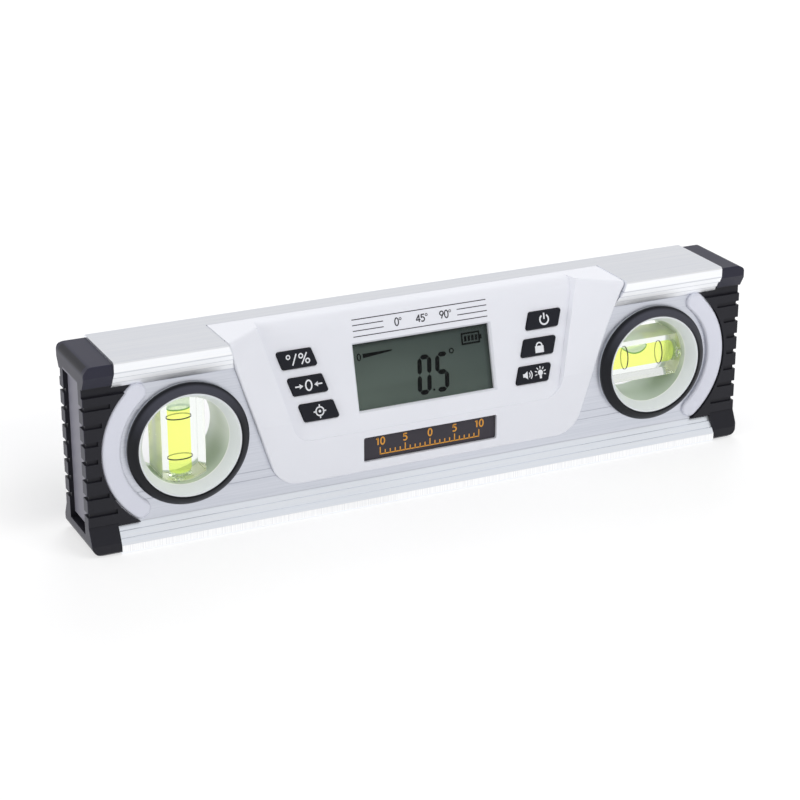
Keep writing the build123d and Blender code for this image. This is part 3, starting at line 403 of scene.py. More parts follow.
# %% Moulded finish
def moulded(name, dark, light, roughness, grain_size, grain_depth, **fixed):
    """Plastic with fine mould grain: two close colours, clouded roughness and a little relief."""
    plastic = Finish(name, **fixed)
    grain = plastic.noise((grain_size,) * 3, detail=3)
    cloud = plastic.noise((25, 25, 25), detail=2)
    plastic.share = 0.65 * cloud + 0.35 * grain
    plastic.colour = plastic.blend(plastic.share, paint(*dark), paint(*light))
    plastic.set("Base Color", plastic.colour)
    plastic.set("Roughness", roughness + 0.12 * (cloud - 0.5) + 0.08 * (grain - 0.5))
    plastic.relief(grain, grain_depth)
    return plastic


def overlay(plastic, share, dark, light):
    """Other tones of the same moulding where the share is 1."""
    tone = plastic.blend(plastic.share, paint(*dark), paint(*light))
    plastic.colour = plastic.blend(share, plastic.colour, tone)
    plastic.set("Base Color", plastic.colour)


# %% [markdown]
# With these a finish is one line: two close colours, the roughness, and the size and depth of the
# grain in millimetres. The black keys and the dark plate gloss less than the white housing, so they
# share a lower specular level.

# %% Moulded pieces
FOUR = [f"{face}_{side}" for face in ("front", "rear") for side in ("left", "right")]
DULL = {"specular_ior_level": 0.22}
white = moulded("white_housing", (231, 233, 240), (239, 240, 247), 0.38, 0.35, 0.004)
white.dress("front_housing", "rear_cover")
moulded("white_door", (230, 231, 239), (238, 239, 246), 0.42, 0.35, 0.005).dress("battery_door")
silver = moulded("silver_moulding", (218, 220, 232), (228, 230, 241), 0.36, 0.22, 0.003)
silver.dress(*[f"crescent_{place}" for place in FOUR])
keys = moulded("black_button", (17, 19, 26), (27, 29, 38), 0.45, 0.28, 0.010, **DULL)
KEY_NAMES = ("unit", "reference", "calibrate", "power", "hold", "sound_light")
keys.dress(*[f"button_{name}" for name in KEY_NAMES])
moulded("dark_plate", (56, 53, 60), (64, 61, 68), 0.48, 0.2, 0.003, **DULL).dress("name_plate")
moulded("grey_tray", (56, 58, 62), (66, 68, 72), 0.5, 0.4, 0.01).dress("battery_tray")
packages = moulded("black_package", (24, 24, 26), (34, 34, 36), 0.55, 0.15, 0.004)
packages.dress("controller_chip", "tilt_sensor", "buzzer")
rubber = moulded("grey_rubber", (96, 98, 101), (112, 114, 117), 0.7, 0.5, 0.01)
rubber.dress("key_mat_left", "key_mat_right", "display_connector")
moulded("red_lead", (150, 26, 24), (172, 34, 30), 0.45, 0.4, 0.004).dress("battery_leads")
print("moulded plastics on the housing, keys and tray")

# %% [markdown]
# ## End caps
#
# A black moulding is not one black. The sunk panels of the end caps have a coarser, paler grain.
# The crown, the end rims and the slopes under the upper lips get a painted grey sheen where light
# falls on them. Each tone is laid over the plastic with a mask on the place.

# %% End caps
VIAL_Z = 33.5
END_X = 124.1
SUNK_FLOOR = 122.5
SUNK_HALF = 7.8
SUNK_SPAN = (8.1, 60.0)
PAD_DEPTH = 12.0
CAP_CROWN = 65.9

caps = moulded("black_moulding", (25, 25, 31), (38, 38, 45), 0.42, 0.30, 0.012, **DULL)
x, y, z = caps.axes()
sunk_low, sunk_high = SUNK_SPAN
sunk = abs(x).past(SUNK_FLOOR - 0.2) * (1 - abs(y).past(SUNK_HALF - 0.1))
sunk = sunk * z.past(sunk_low) * (1 - z.past(sunk_high - 1, 1))
# painted sheen: the end rims and the slopes under the lips are painted lighter, as lit faces
painted_end_sheen = abs(x).past(END_X - 0.25, 0.2)
painted_slope_sheen = abs(y).past(PAD_DEPTH + 0.05, 0.25) * z.past(VIAL_Z, 1)
overlay(caps, painted_slope_sheen, (36, 36, 49), (48, 48, 63))
overlay(caps, painted_end_sheen, (38, 38, 50), (52, 52, 65))
overlay(caps, sunk, (96, 95, 105), (140, 139, 150))
# painted sheen on the crown of the caps, where light falls on the top
overlay(caps, z.past(CAP_CROWN, 0.2), (41, 41, 55), (53, 53, 69))
caps.dress("end_cap_left", "end_cap_right")
# three of the four tones are painted sheen: slopes, end rims and crown
print("four worn tones on the end caps")

# %% [markdown]
# ## Vial rings
#
# Each vial ring gets a painted highlight on its crown, growing towards its top, and its foot is
# painted pale. Both masks need the distance from the middle of the vial, the root of two squares.

# %% Vial rings
VIAL_X = 88.5
RING_CROWN = 12.6
FOOT_RADIUS = 20.9
FOOT_DEPTH = 10.9

rings = moulded("black_ring", (11, 13, 19), (19, 21, 28), 0.34, 0.25, 0.005, **DULL)
x, y, z = rings.axes()
radius = ((abs(x) - VIAL_X) ** 2 + (z - VIAL_Z) ** 2) ** 0.5
# painted highlight on the upper crown of each ring
painted_crown_highlight = abs(y).past(RING_CROWN - 0.5, 1) * ((z - VIAL_Z) / radius).step(0.1, 1.0)
foot = radius.past(FOOT_RADIUS - 0.1) * (1 - abs(y).past(FOOT_DEPTH))
overlay(rings, painted_crown_highlight, (58, 59, 69), (74, 75, 85))
overlay(rings, foot, (190, 194, 200), (214, 217, 222))
rings.dress(*[f"bezel_{place}" for place in FOUR])
print("rings with a lit crown and a pale foot")

# %% [markdown]
# Where the housing meets the rail, a thin grey line of painted shade stands for the shadow in the gap
# between them. It follows the slanted sides of the housing, so its mask compares x with a straight line
# in height, and keeps to a thin layer of depth.

# %% Painted shade at the seam of the housing
SIDE_X = 71.6
SIDE_Z = 57.5
SIDE_SLOPE = 0.325
LOWER_TOP = 26.0
SEAM_DEPTH = (10.0, 10.65)

x, y, z = white.axes()
side = SIDE_X - SIDE_SLOPE * (SIDE_Z - z)
outline = (abs(x) - side).past(-0.3).most(1 - z.past(LOWER_TOP, 0.5))
back, front = SEAM_DEPTH
# painted shade: the grey line round the foot of the housing
painted_seam_shade = outline * y.past(-front) * (1 - y.past(-back))
overlay(white, painted_seam_shade, (128, 130, 140), (152, 154, 162))
print("seam round the housing")

# %% [markdown]
# ## Small metal parts
#
# Screws, contacts and magnets are plated, with turning or rolling marks that are finer than the rail's.
# The direction of the marks is in the three noise sizes, so one function makes all three finishes.


# %% Plated metal
def plated(name, dark, light, sizes, roughness):
    """Plated metal with fine marks whose sizes along x, y and z are in millimetres."""
    metal = Finish(name, metallic=1.0)
    fine = metal.noise(sizes, detail=3)
    worn = metal.noise((4, 4, 4), detail=2)
    metal.set("Base Color", metal.blend(0.5 * fine + 0.5 * worn, paint(*dark), paint(*light)))
    metal.set("Roughness", roughness + 0.15 * (worn - 0.5))
    metal.relief(fine, 0.004)
    return metal


screws = plated("zinc_screw", (178, 180, 182), (212, 213, 214), (0.3, 2.0, 0.3), 0.35)
screws.dress("board_screws", "cover_screws")
contacts = plated("nickel_contact", (190, 184, 170), (222, 217, 205), (2.0, 0.2, 2.0), 0.28)
contacts.dress("battery_leaves", "battery_bridge")
plated("nickel_magnet", (186, 187, 190), (216, 217, 220), (0.6, 0.6, 3.0), 0.25).dress("base_magnets")
print("plated screws, contacts and magnets")

# %% [markdown]
# ## Cells and board
#
# The cells wear a printed jacket with a copper shoulder and a pale line at the end with the nub. They
# lie head to tail, so that end is on the right of the upper cell and on the left of the lower one.
# They show when the battery door is open.

# %% Cell jackets
CELL_SHOULDER = 13.0
CELL_SPLIT = 29.0
LINE_REACH = 1.6

jacket = Finish("cell_jacket", metallic=0.35, roughness=0.32)
x, y, z = jacket.axes()
upper = z.past(CELL_SPLIT, 0.3)
towards_nub = (2 * upper - 1) * x
copper = towards_nub.past(CELL_SHOULDER, 0.2)
line = towards_nub.past(CELL_SHOULDER - LINE_REACH, 0.2) * (1 - copper)
scuff = jacket.noise((1.5, 0.6, 0.6), detail=4)
body = jacket.blend(scuff, paint(36, 38, 44), paint(48, 50, 57))
body = jacket.blend(line, body, paint(206, 208, 212))
jacket.set("Base Color", jacket.blend(copper, body, paint(188, 122, 72)))
jacket.relief(scuff, 0.004)
jacket.dress("battery_upper", "battery_lower")
print("jackets change to copper", CELL_SHOULDER, "mm from the middle")

# %% [markdown]
# The board is green lacquer over copper tracks. Noise without detail, cut at one value, gives islands
# that pass for tracks, which is enough for a piece behind the display that hardly shows.

# %% Circuit board
board = Finish("green_board", roughness=0.35)
weave = board.noise((0.5, 0.5, 0.5), detail=2)
tracks = board.noise((6, 6, 0.8), detail=0).step(0.55, 0.57)
lacquer = board.blend(weave, paint(18, 74, 44), paint(26, 88, 54))
board.set("Base Color", board.blend(tracks, lacquer, paint(44, 112, 66)))
board.relief(tracks, 0.02)
board.dress("circuit_board")
print("lacquered board")

# %% [markdown]
# ## Pale vial sleeves
#
# Each vial sits in a pale translucent sleeve. Its flared mouths look white. The bore behind them is
# painted grey green, for light that comes through the lime liquid, and darker towards its foot as
# painted shade, and a painted highlight runs along the edge between the two. Depth along y and height
# are all that is needed to paint that.

# %% Sleeves and light guide
CONE_END = 9.0
BORE_FOOT = 9.0

sleeve = Finish("pale_sleeve", roughness=0.4)
x, y, z = sleeve.axes()
grain = sleeve.noise((0.4, 0.4, 0.4), detail=3)
depth = abs(y) + 0.1 * (grain - 0.5)
flare = depth.past(CONE_END - 0.1, 0.2)
# painted highlight along the rim between bore and mouth
rim = flare * (1 - depth.past(CONE_END + 0.1, 0.4))
# painted light and shade: the bore is painted darker towards its foot and its middle
lit = 0.25 * abs(y).step(0, CONE_END) + 0.6 * z.step(VIAL_Z - BORE_FOOT, VIAL_Z) + 0.15 * grain
bore = sleeve.blend(lit, paint(178, 194, 178), paint(230, 237, 230))
cone = sleeve.blend(grain, paint(230, 234, 238), paint(236, 240, 243))
wall = sleeve.blend(flare, bore, cone)
sleeve.set("Base Color", sleeve.blend(rim, wall, paint(252, 254, 253)))
sleeve.relief(grain, 0.004)
sleeve.dress("vial_sleeve_left", "vial_sleeve_right", "display_backlight")
print("sleeves change from bore to mouth at", CONE_END, "mm of depth")

# %% [markdown]
# ## Clear window
#
# The window is a thin coated sheet, so bending of light can be left out: a mix of see-through and a
# little gloss, with more gloss at a slant, looks the same and lets the lamps in.

# %% Window
VEIL = 0.2

window = Finish("clear_lens", base_color=paint(245, 247, 247))
smear = window.noise((8, 8, 8), detail=2)
window.set("Roughness", 0.03 + 0.05 * smear)
facing = window.node("ShaderNodeFresnel", sockets={"IOR": 1.46})
window.surface(window.mix(VEIL * facing, window.see_through(paint(255, 255, 255)), window.gloss()))
window.dress("display_lens")
print("window with a veil of", VEIL)

# %% [markdown]
# ## Liquid crystal cell
#
# Behind the window lies a grey green sheet with a very fine grain. A shadow of the right and the upper
# edge of the window is painted on it, and painted shade makes it a little darker towards the right and
# the top.

# %% Display cell
CELL_HALF = 26.0
CELL_RISE = 11.0
CELL_MIDDLE = 44.6
SIDE_SHADE = (2.6, 0.4)
TOP_SHADE = (2.4, 0.4)

cell = Finish("display_glass", roughness=0.5, specular_ior_level=0.1)
x, y, z = cell.axes()
hair = cell.noise((0.12, 0.12, 0.12), detail=2)
cloud = cell.noise((30, 30, 12), detail=1)
rise = z - CELL_MIDDLE
# painted light from the lower left
lit = 0.5 - 0.25 * x / CELL_HALF - 0.25 * rise / CELL_RISE
tone = lit + 0.35 * (cloud - 0.5) + 0.3 * (hair - 0.5)
# painted shadow of the window frame along the right and top
right_shade = x.step(*[CELL_HALF - reach for reach in SIDE_SHADE])
painted_shadow = right_shade.most(rise.step(*[CELL_RISE - reach for reach in TOP_SHADE]))
sheet = cell.blend(tone, paint(75, 86, 83), paint(101, 114, 106))
cell.set("Base Color", cell.blend(0.6 * painted_shadow, sheet, paint(40, 46, 44)))
cell.relief(hair, 0.002)
cell.dress("display_glass")
print("display cell", 2 * CELL_HALF, "by", 2 * CELL_RISE, "mm")

# %% [markdown]
# ## Surfaces from numpy
#
# Every new piece is a grid of points, worked out as whole arrays: rows run along a path, columns
# round a section. One function lists the points of such a grid and another its four-cornered faces.
# An open path is closed by a flat face at each end.


# %% Grid helpers
def grid_points(x, y, z):
    """Three arrays that fit one grid, as a list of points row by row."""
    return np.stack(np.broadcast_arrays(x, y, z), axis=-1).reshape(-1, 3)


def grid_faces(rows, columns, wrap_rows=False):
    """Faces between neighbours of a grid. Columns close on themselves, and so do wrapped rows."""
    row = np.arange(rows if wrap_rows else rows - 1)[:, None]
    column = np.arange(columns)[None, :]
    here, below = row * columns, (row + 1) % rows * columns
    beside = (column + 1) % columns
    corners = np.broadcast_arrays(here + column, here + beside, below + beside, below + column)
    return np.stack(corners, axis=-1).reshape(-1, 4).tolist()


def closed_ends(rows, columns):
    """Two faces that close the first and last row of a grid."""
    return [list(range(columns))[::-1], list(range((rows - 1) * columns, rows * columns))]


def joined(shells):
    """Several (points, faces) as one, with the face numbers moved on."""
    starts = np.cumsum([0] + [len(points) for points, _ in shells])
    points = np.concatenate([points for points, _ in shells])
    faces = [[i + int(at) for i in face] for at, (_, faces) in zip(starts, shells) for face in faces]
    return points, faces


# %% [markdown]
# Points and faces become a mesh in one call, and all faces are then turned outwards. The piece is
# smooth but for its sharp edges. It rides on a body of the level, so it moves with that body at any
# pose. Where it is a cleaner surface for a CAD piece, it takes the place of that piece.

# %% Pieces
CREASE = 0.6


def piece(name, shell, finish, body="level", slot=None, stands_for=(), layers=None):
    """Mesh object from points in mm and faces, riding on a body. It is smooth but for edges sharper
    than CREASE. Layers are numbers per point that its finish reads by name."""
    points, faces = shell
    mesh = bpy.data.meshes.new(name)
    mesh.from_pydata((points * MM).tolist(), [], faces)
    mesh.materials.append(finish.material)
    work = bmesh.new()
    work.from_mesh(mesh)
    bmesh.ops.recalc_face_normals(work, faces=work.faces)
    work.to_mesh(mesh)
    work.free()
    for layer, values in (layers or {}).items():
        mesh.attributes.new(layer, "FLOAT", "POINT").data.foreach_set("value", values)
    mesh.polygons.foreach_set("use_smooth", np.ones(len(mesh.polygons), bool))
    mesh.set_sharp_from_angle(angle=CREASE)
    thing = bpy.data.objects.new(name, mesh)
    bpy.context.scene.collection.objects.link(thing)
    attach(thing, body)
    if stands_for:
        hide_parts(*stands_for)
    print(f"{name}: {len(mesh.polygons)} faces on {body}")
    return thing


# %% [markdown]
# ## Vials
#
# A vial is a clear acrylic bar that spans the round sleeve, with a chamber bored along it. Light
# bends at the faces of the bar, which gives the white stripes beside the lime column and a second,
# thin image of it in the side face. So the bar, the column, the bubble and the plug are real
# surfaces. The sides and ends of the bar were sawn and look hazy. Rays that are already inside the
# bar are still mirrored by its sides, so the haze of the sides is kept to rays from outside.

# %% Clear acrylic
END_ROUND = 15.2
BAR_WIDTH = 15.4
FROST = 0.62


def clear(name, dark, light, ior):
    """See-through finish with a faint cloud in its tint and a trace of polishing waves."""
    glass = Finish(name, ior=ior, transmission_weight=1.0)
    cloud = glass.noise((6, 6, 6), detail=2)
    glass.set("Base Color", glass.blend(cloud, paint(*dark), paint(*light)))
    glass.polish = 0.01 + 0.02 * cloud
    glass.set("Roughness", glass.polish)
    glass.relief(cloud, 0.004)
    return glass


def vial_places(finish):
    """Distance across the chamber and along it, for whichever vial a point belongs to."""
    x, y, z = finish.axes()
    right = x.step(-1, 1)
    across = abs(x + VIAL_X) * (1 - right) + abs(z - VIAL_Z) * right
    along = (VIAL_Z - z) * (1 - right) + (x - VIAL_X) * right
    return across, along


acrylic = clear("clear_acrylic", (246, 250, 247), (250, 253, 251), 1.49)
across, along = vial_places(acrylic)
from_inside = acrylic.node("ShaderNodeNewGeometry", output="Backfacing")
sawn = across.past(BAR_WIDTH / 2 - 0.1, 0.05) * (1 - from_inside)
ends = (across * across + along * along).step((END_ROUND - 0.3) ** 2, (END_ROUND - 0.1) ** 2)
acrylic.set("Roughness", acrylic.polish + 0.25 * sawn + 0.4 * ends)
haze = acrylic.node("ShaderNodeBsdfDiffuse", sockets={"Color": paint(248, 251, 244)})
acrylic.surface(acrylic.mix(FROST * sawn.most(ends), acrylic.gloss(), haze))
cement = clear("vial_cement", (236, 244, 232), (250, 253, 248), 1.5)
plug = clear("vial_plug", (208, 223, 192), (224, 236, 210), 1.04)
print("acrylic with hazy sides, cement and plug")

# %% [markdown]
# Two dark ring lines round the column show where the bubble has to stand. They are ink: an even colour
# with fine specks where it did not cover. All other print on the level uses the same function.


# %% Ring ink
def printed(name, colour, roughness, speck):
    """Ink: an even colour with fine specks where it did not cover."""
    film = Finish(name, **DULL)
    fleck = film.noise((0.18, 0.18, 0.18), detail=2)
    paler = tuple(channel + speck * (255 - channel) for channel in colour)
    film.set("Base Color", film.blend(fleck, paint(*colour), paint(*paler)))
    film.set("Roughness", roughness + 0.1 * (fleck - 0.5))
    film.relief(fleck, 0.002)
    return film


ring_ink = printed("ring_ink", (14, 20, 8), 0.5, 0.02)
print("dark ink for the ring lines")

# %% [markdown]
# The bubble is air in dyed liquid. Its body is see-through under a pale painted film that glows a
# little, as painted light for the light caught in the vial, and its edge, where the liquid meets the
# wall, is a painted dark green line. The shape carries a number per point, the distance to that edge,
# and the finish reads it by name.

# %% Bubble of air
EDGE_LINE = (0.4, 0.8)
FILM = 0.55
EDGE_FILM = 0.38

# painted light: the bubble's film glows though it is no lamp
bubble_air = Finish("vial_bubble", roughness=0.25, emission_strength=0.6)
to_edge = bubble_air.node("ShaderNodeAttribute", {"attribute_name": "to_edge"}, output="Fac")
# painted dark green edge where the liquid meets the wall
rim = 1 - to_edge.step(*EDGE_LINE)
mist = bubble_air.noise((3, 3, 3), detail=2)
painted_skin = bubble_air.blend(mist, paint(206, 212, 208), paint(232, 236, 233))
painted_skin = bubble_air.blend(rim, painted_skin, paint(96, 148, 56))
bubble_air.set("Base Color", painted_skin)
bubble_air.set("Emission Color", painted_skin)
air = bubble_air.see_through(paint(236, 246, 216))
bubble_air.surface(bubble_air.mix(FILM + EDGE_FILM * rim, air, bubble_air.gloss()))
print("bubble with a dark edge", EDGE_LINE[1], "mm wide")

# %% [markdown]
# The liquid is painted bright: a share of its surface glows in the colour of the dye, as painted light,
# and the rest is see-through. A line of sight crosses two walls of the column, and each lets through
# the square root of the tint. Towards the plug the tint is a little darker.

# %% Lime liquid
PAINTED_GLOW = 0.9
GLOW_SHARE = 0.16
NEAR_PLUG = (8.6, 10.4)


def one_wall(red, green, blue):
    """Square root of a colour: what one of the two walls of a tinted body lets through."""
    return tuple(channel**0.5 for channel in paint(red, green, blue))


# painted light: the liquid glows though it is no lamp
lime = Finish("vial_liquid", roughness=0.6, specular_ior_level=0.0, emission_strength=PAINTED_GLOW)
along = vial_places(lime)[1]
deep = along.step(*NEAR_PLUG)
stir = lime.noise((5, 5, 5), detail=2)
tint = lime.blend(stir, paint(244, 250, 128), paint(250, 253, 146))
tint = lime.blend(deep, tint, paint(230, 243, 142))
lime.set("Base Color", tint)
lime.set("Emission Color", tint)
shallow = lime.see_through(one_wall(247, 252, 137))
depths = lime.see_through(one_wall(226, 241, 124))
lime.surface(lime.mix(GLOW_SHARE, lime.mix(deep, shallow, depths), lime.gloss()))
# the glow of the dye is painted light
print("lime liquid with", GLOW_SHARE, "of glowing dye")

# %% [markdown]
# ## Vial shapes
#
# Places in a vial are written as (across, depth, along the chamber). The bar is one section, carried
# along the chamber. Where it meets the sleeve its ends are part of a circle, so the reach along the
# chamber follows from the place across it.

# %% Clear bar
BAR_DEPTH = 13.0
BAR_BEVEL = 0.06
BAR_STEPS = 33


def clear_bar():
    """Bevelled rectangle carried along the chamber; at a distance a from its middle, the bar ends
    at +-sqrt(r^2 - a^2)."""
    half = BAR_WIDTH / 2
    across = np.array([-half, *np.linspace(-half + BAR_BEVEL, half - BAR_BEVEL, BAR_STEPS), half])
    front = np.full(len(across), -BAR_DEPTH / 2)
    front[[0, -1]] += BAR_BEVEL
    a = np.concatenate([across, across[::-1]])
    d = np.concatenate([front, -front[::-1]])
    t = np.array([-1, 1])[:, None] * np.sqrt(END_ROUND**2 - a**2)
    rung = np.arange(len(across) - 1)
    last = 2 * len(across) - 1
    ends = np.stack([rung, rung + 1, last - rung - 1, last - rung], axis=-1)
    ends = np.concatenate([ends, ends + len(a)])
    return grid_points(a, d, t), grid_faces(2, len(a)) + ends.tolist()


bar_shell = clear_bar()
print(f"bar of {len(bar_shell[1])} faces")

# %% [markdown]
# The column of liquid, the plug and the ring lines are round. Each is a profile of radii and places
# that is turned about the chamber. The column is drawn in at its far end, where the plug sits.

# %% Turned shapes
AROUND = 96
TURN = np.arange(AROUND) * 2 * pi / AROUND
TUBE_ROUND = 4.3
TUBE_HALF = 13.4
COLUMN_ROUND = 3.95
RING_PLACES = (-6.3, 8.0)
RING_THICK = 0.1
RING_HALF = 0.21


def turned(radii, places):
    """Surface turned about the chamber: radius cos u, radius sin u, place; flat closed ends."""
    radii, places = np.array(radii)[:, None], np.array(places)[:, None]
    points = grid_points(radii * np.cos(TURN), radii * np.sin(TURN), places)
    return points, grid_faces(len(radii), AROUND) + closed_ends(len(radii), AROUND)


def column(start):
    """Liquid from a start to the plug: a tube whose far end is drawn in."""
    places = np.array([start, start + 0.3, TUBE_HALF - 1.2, TUBE_HALF - 0.4, TUBE_HALF])
    return turned(COLUMN_ROUND - np.array([0.3, 0, 0, 0.4, 1.2]), places)


def ring_line(place):
    """Thin band round the column: a small square section turned about it."""
    u = TURN[:, None]
    radius = TUBE_ROUND + RING_THICK * np.array([0, 1, 1, 0])
    along = place + RING_HALF * np.array([-1, -1, 1, 1])
    points = grid_points(radius * np.cos(u), radius * np.sin(u), along)
    return points, grid_faces(AROUND, 4, wrap_rows=True)


PLUG_DRAWN_IN = np.array([0.2, 0, 0, 0.2])
PLUG_PLACES = np.array([0.1, 0.3, 0.8, 1.0])
plug_disc = turned(COLUMN_ROUND - PLUG_DRAWN_IN, TUBE_HALF + PLUG_PLACES)
ring_pair = joined([ring_line(place) for place in RING_PLACES])
print(f"plug of {len(plug_disc[1])} faces, ring lines of {len(ring_pair[1])}")

# %% [markdown]
# In the upright chamber the air has risen to the top, and the liquid below it ends in a level
# surface, so the bubble is a short tube closed by that surface. In the lying chamber the bubble is
# long and lies under the top of the tube, like a slice of it. Both know how far each point is from
# the edge, for the dark line.

# %% Bubbles
BUBBLE_ROUND = 4.02
SURFACE = -9.2
RIM_WIDTH = 0.8
RIM_BEVEL = 0.1
SLIT = 0.05
BUBBLE_MIDDLE = -2.55
BUBBLE_HALF = 5.25
BUBBLE_TIP = 0.999
BUBBLE_TURN = 1.15
BUBBLE_SAG = 0.35


def top_bubble():
    """Air over the liquid of an upright chamber: a tube closed by the level surface, with a small
    bevel between them. Each point also knows how far it is from that edge."""
    in_from_wall = np.array([0, 0, 0, RIM_BEVEL, RIM_WIDTH, BUBBLE_ROUND - SLIT])
    above = np.array([SURFACE + TUBE_HALF - SLIT, RIM_WIDTH, RIM_BEVEL, 0, 0, 0])
    to_edge = np.repeat(np.maximum(in_from_wall, above), AROUND)
    return turned(BUBBLE_ROUND - in_from_wall, SURFACE - above), to_edge


def side_bubble():
    """Bubble along the top of a lying chamber. Its section is an arc of the tube, +-w from the top,
    closed by a slack floor; w shrinks to both ends as sqrt(1 - u^2). Each point also knows how far
    it is from the edge of the arc."""
    u = np.linspace(-BUBBLE_TIP, BUBBLE_TIP, 61)[:, None]
    width = BUBBLE_TURN * np.sqrt(1 - u**2)
    share = np.linspace(-1, 1, 33)
    floor_share = share[::-1][1:-1]
    sag = BUBBLE_SAG * width * (1 - floor_share**2)
    a_floor = BUBBLE_ROUND * np.cos(width) - sag
    d_floor = BUBBLE_ROUND * np.sin(width) * floor_share
    a = np.concatenate([BUBBLE_ROUND * np.cos(width * share), a_floor], axis=1)
    d = np.concatenate([BUBBLE_ROUND * np.sin(width * share), d_floor], axis=1)
    from_side = np.concatenate([BUBBLE_ROUND * width * (1 - abs(share)), 0 * a_floor], axis=1)
    to_edge = np.minimum(from_side, BUBBLE_HALF * (1 - abs(u)))
    points = grid_points(a, d, BUBBLE_MIDDLE + BUBBLE_HALF * u)
    return (points, grid_faces(*a.shape) + closed_ends(*a.shape)), to_edge.ravel()


BUBBLES = {"plumb": top_bubble(), "level": side_bubble()}
for kind, (shell, to_edge) in BUBBLES.items():
    print(f"{kind} bubble of {len(shell[1])} faces, up to {to_edge.max():.1f} mm from its edge")

# %% [markdown]
# A drop of clear cement holds each bar in its sleeve. It sets crumpled and glints. A ball whose radius
# swells by sines of both of its angles gives such a drop without a seam.

# %% Cement drops
DROP_ROUND = 1.25
DROP_SHAPE = (1.5, 0.6, 0.8)
DROP_SWELL = 0.2
DROP_ROWS = 48
POLE = 0.02


def cement_drop(across, depth, along):
    """Crumpled drop of clear cement: a ball whose radius swells by sines of both of its angles."""
    u = TURN
    v = np.linspace(POLE, pi - POLE, DROP_ROWS)[:, None]
    swell = np.sin(3 * u + 2 * v) * np.sin(2 * v) + 0.6 * np.sin(5 * u - 4 * v) * np.sin(v)
    radius = DROP_ROUND * (1 + DROP_SWELL * swell)
    ball = grid_points(np.sin(v) * np.cos(u), np.sin(v) * np.sin(u), np.cos(v))
    points = radius.reshape(-1, 1) * ball * DROP_SHAPE + [across, depth, along]
    return points, grid_faces(DROP_ROWS, AROUND) + closed_ends(DROP_ROWS, AROUND)


DROP_ASIDE = {"plumb": -2.2, "level": 0.3}
DROP_PLACE = (-7.2, 13.6)
DROPS = {kind: cement_drop(aside, *DROP_PLACE) for kind, aside in DROP_ASIDE.items()}
print(f"{len(DROPS)} drops of about {2 * DROP_ROUND} mm")

# %% [markdown]
# Both vials have the same bar, plug and ring lines. One stands upright and one lies, so each shape is
# turned to its vial last, by swapping its axes. Bar, column and plug take the place of their CAD pieces.


# %% Vials in place
def upright(shell):
    """The left vial: across is x, and the chamber runs downwards to its plug."""
    points, faces = shell
    return np.stack([points[:, 0] - VIAL_X, points[:, 1], VIAL_Z - points[:, 2]], axis=-1), faces


def lying(shell):
    """The right vial: across is up, and the chamber runs right to its plug."""
    points, faces = shell
    return np.stack([points[:, 2] + VIAL_X, points[:, 1], VIAL_Z + points[:, 0]], axis=-1), faces


COLUMNS = {"plumb": (upright, column(SURFACE + SLIT)), "level": (lying, column(-TUBE_HALF))}
for kind, (turn, liquid) in COLUMNS.items():
    bubble, to_edge = BUBBLES[kind]
    piece(f"{kind}_bar", turn(bar_shell), acrylic, slot="clear_acrylic", stands_for=[f"{kind}_vial"])
    piece(f"{kind}_column", turn(liquid), lime, slot="vial_liquid", stands_for=[f"{kind}_liquid"])
    piece(f"{kind}_bubble", turn(bubble), bubble_air, layers={"to_edge": to_edge})
    piece(f"{kind}_stopper", turn(plug_disc), plug, slot="vial_plug", stands_for=[f"{kind}_plug"])
    piece(f"{kind}_cement", turn(DROPS[kind]), cement)
    piece(f"{kind}_rings", turn(ring_pair), ring_ink)

# %% [markdown]
# ## Ink
#
# Printed lines, key signs and display segments are flat ribbons between two rails. A bar, an arc, a
# ring, a lozenge and a dot are all such ribbons, so one way of making them solid serves them all.

# %% Ribbons
POINT = 0.02


def ray(turn):
    """Step of length 1 in the direction of a turn: its cosine and its sine."""
    return np.stack([np.cos(turn), np.sin(turn)], axis=-1)


def ribbon(start, end, widths, stations=None):
    """Straight ribbon from start to end, whose width is given at stations from 0 to 1."""
    start, end = np.array(start, float), np.array(end, float)
    stations = np.linspace(0, 1, len(widths)) if stations is None else np.array(stations)
    run = (end - start) / np.linalg.norm(end - start)
    side = np.array([-run[1], run[0]])
    spine = start + stations[:, None] * (end - start)
    reach = side * np.array(widths)[:, None] / 2
    return spine + reach, spine - reach, False


def bar(start, end, width):
    """Ribbon of one width."""
    return ribbon(start, end, [width, width])


def lozenge(start, end, width):
    """Ribbon with pointed ends, as the segments of a display have."""
    share = width / 2 / np.linalg.norm(np.subtract(end, start))
    return ribbon(start, end, [POINT, width, width, POINT], [0, share, 1 - share, 1])


def arc(middle, radius, width, first=0.0, last=2 * pi, stretch=1.0):
    """Ribbon round a middle; a full turn closes on itself. Stretch makes it taller than wide."""
    full = abs(last - first) > 2 * pi - 1e-6
    turn = np.linspace(first, last, 40, endpoint=not full)
    radii = radius * np.array([1, stretch])
    middle = np.array(middle, float)
    return middle + ray(turn) * (radii - width / 2), middle + ray(turn) * (radii + width / 2), full


def dot(middle, radius):
    """Round spot, as a ribbon between its lower and upper half circle."""
    turn = np.linspace(POINT, pi - POINT, 24)
    rim = ray(turn) * radius
    return np.array(middle) + rim, np.array(middle) + rim * [1, -1], False


# %% [markdown]
# A ribbon becomes ink when it is laid on a face. Its four-cornered section is carried along the rails,
# which makes a thin closed slab. Where it lies is a function of a flat place and a lift: one for the
# tilted panel, whose top rounds off backwards, and one for the upright plate below the display.

# %% Ink on a face
PANEL_Y = -8.44
PANEL_Z = 40.0
PANEL_END = 62.47
TILT = atan(0.254)
ROOF_ROUND = 6.0
PLATE_FACE = -11.0


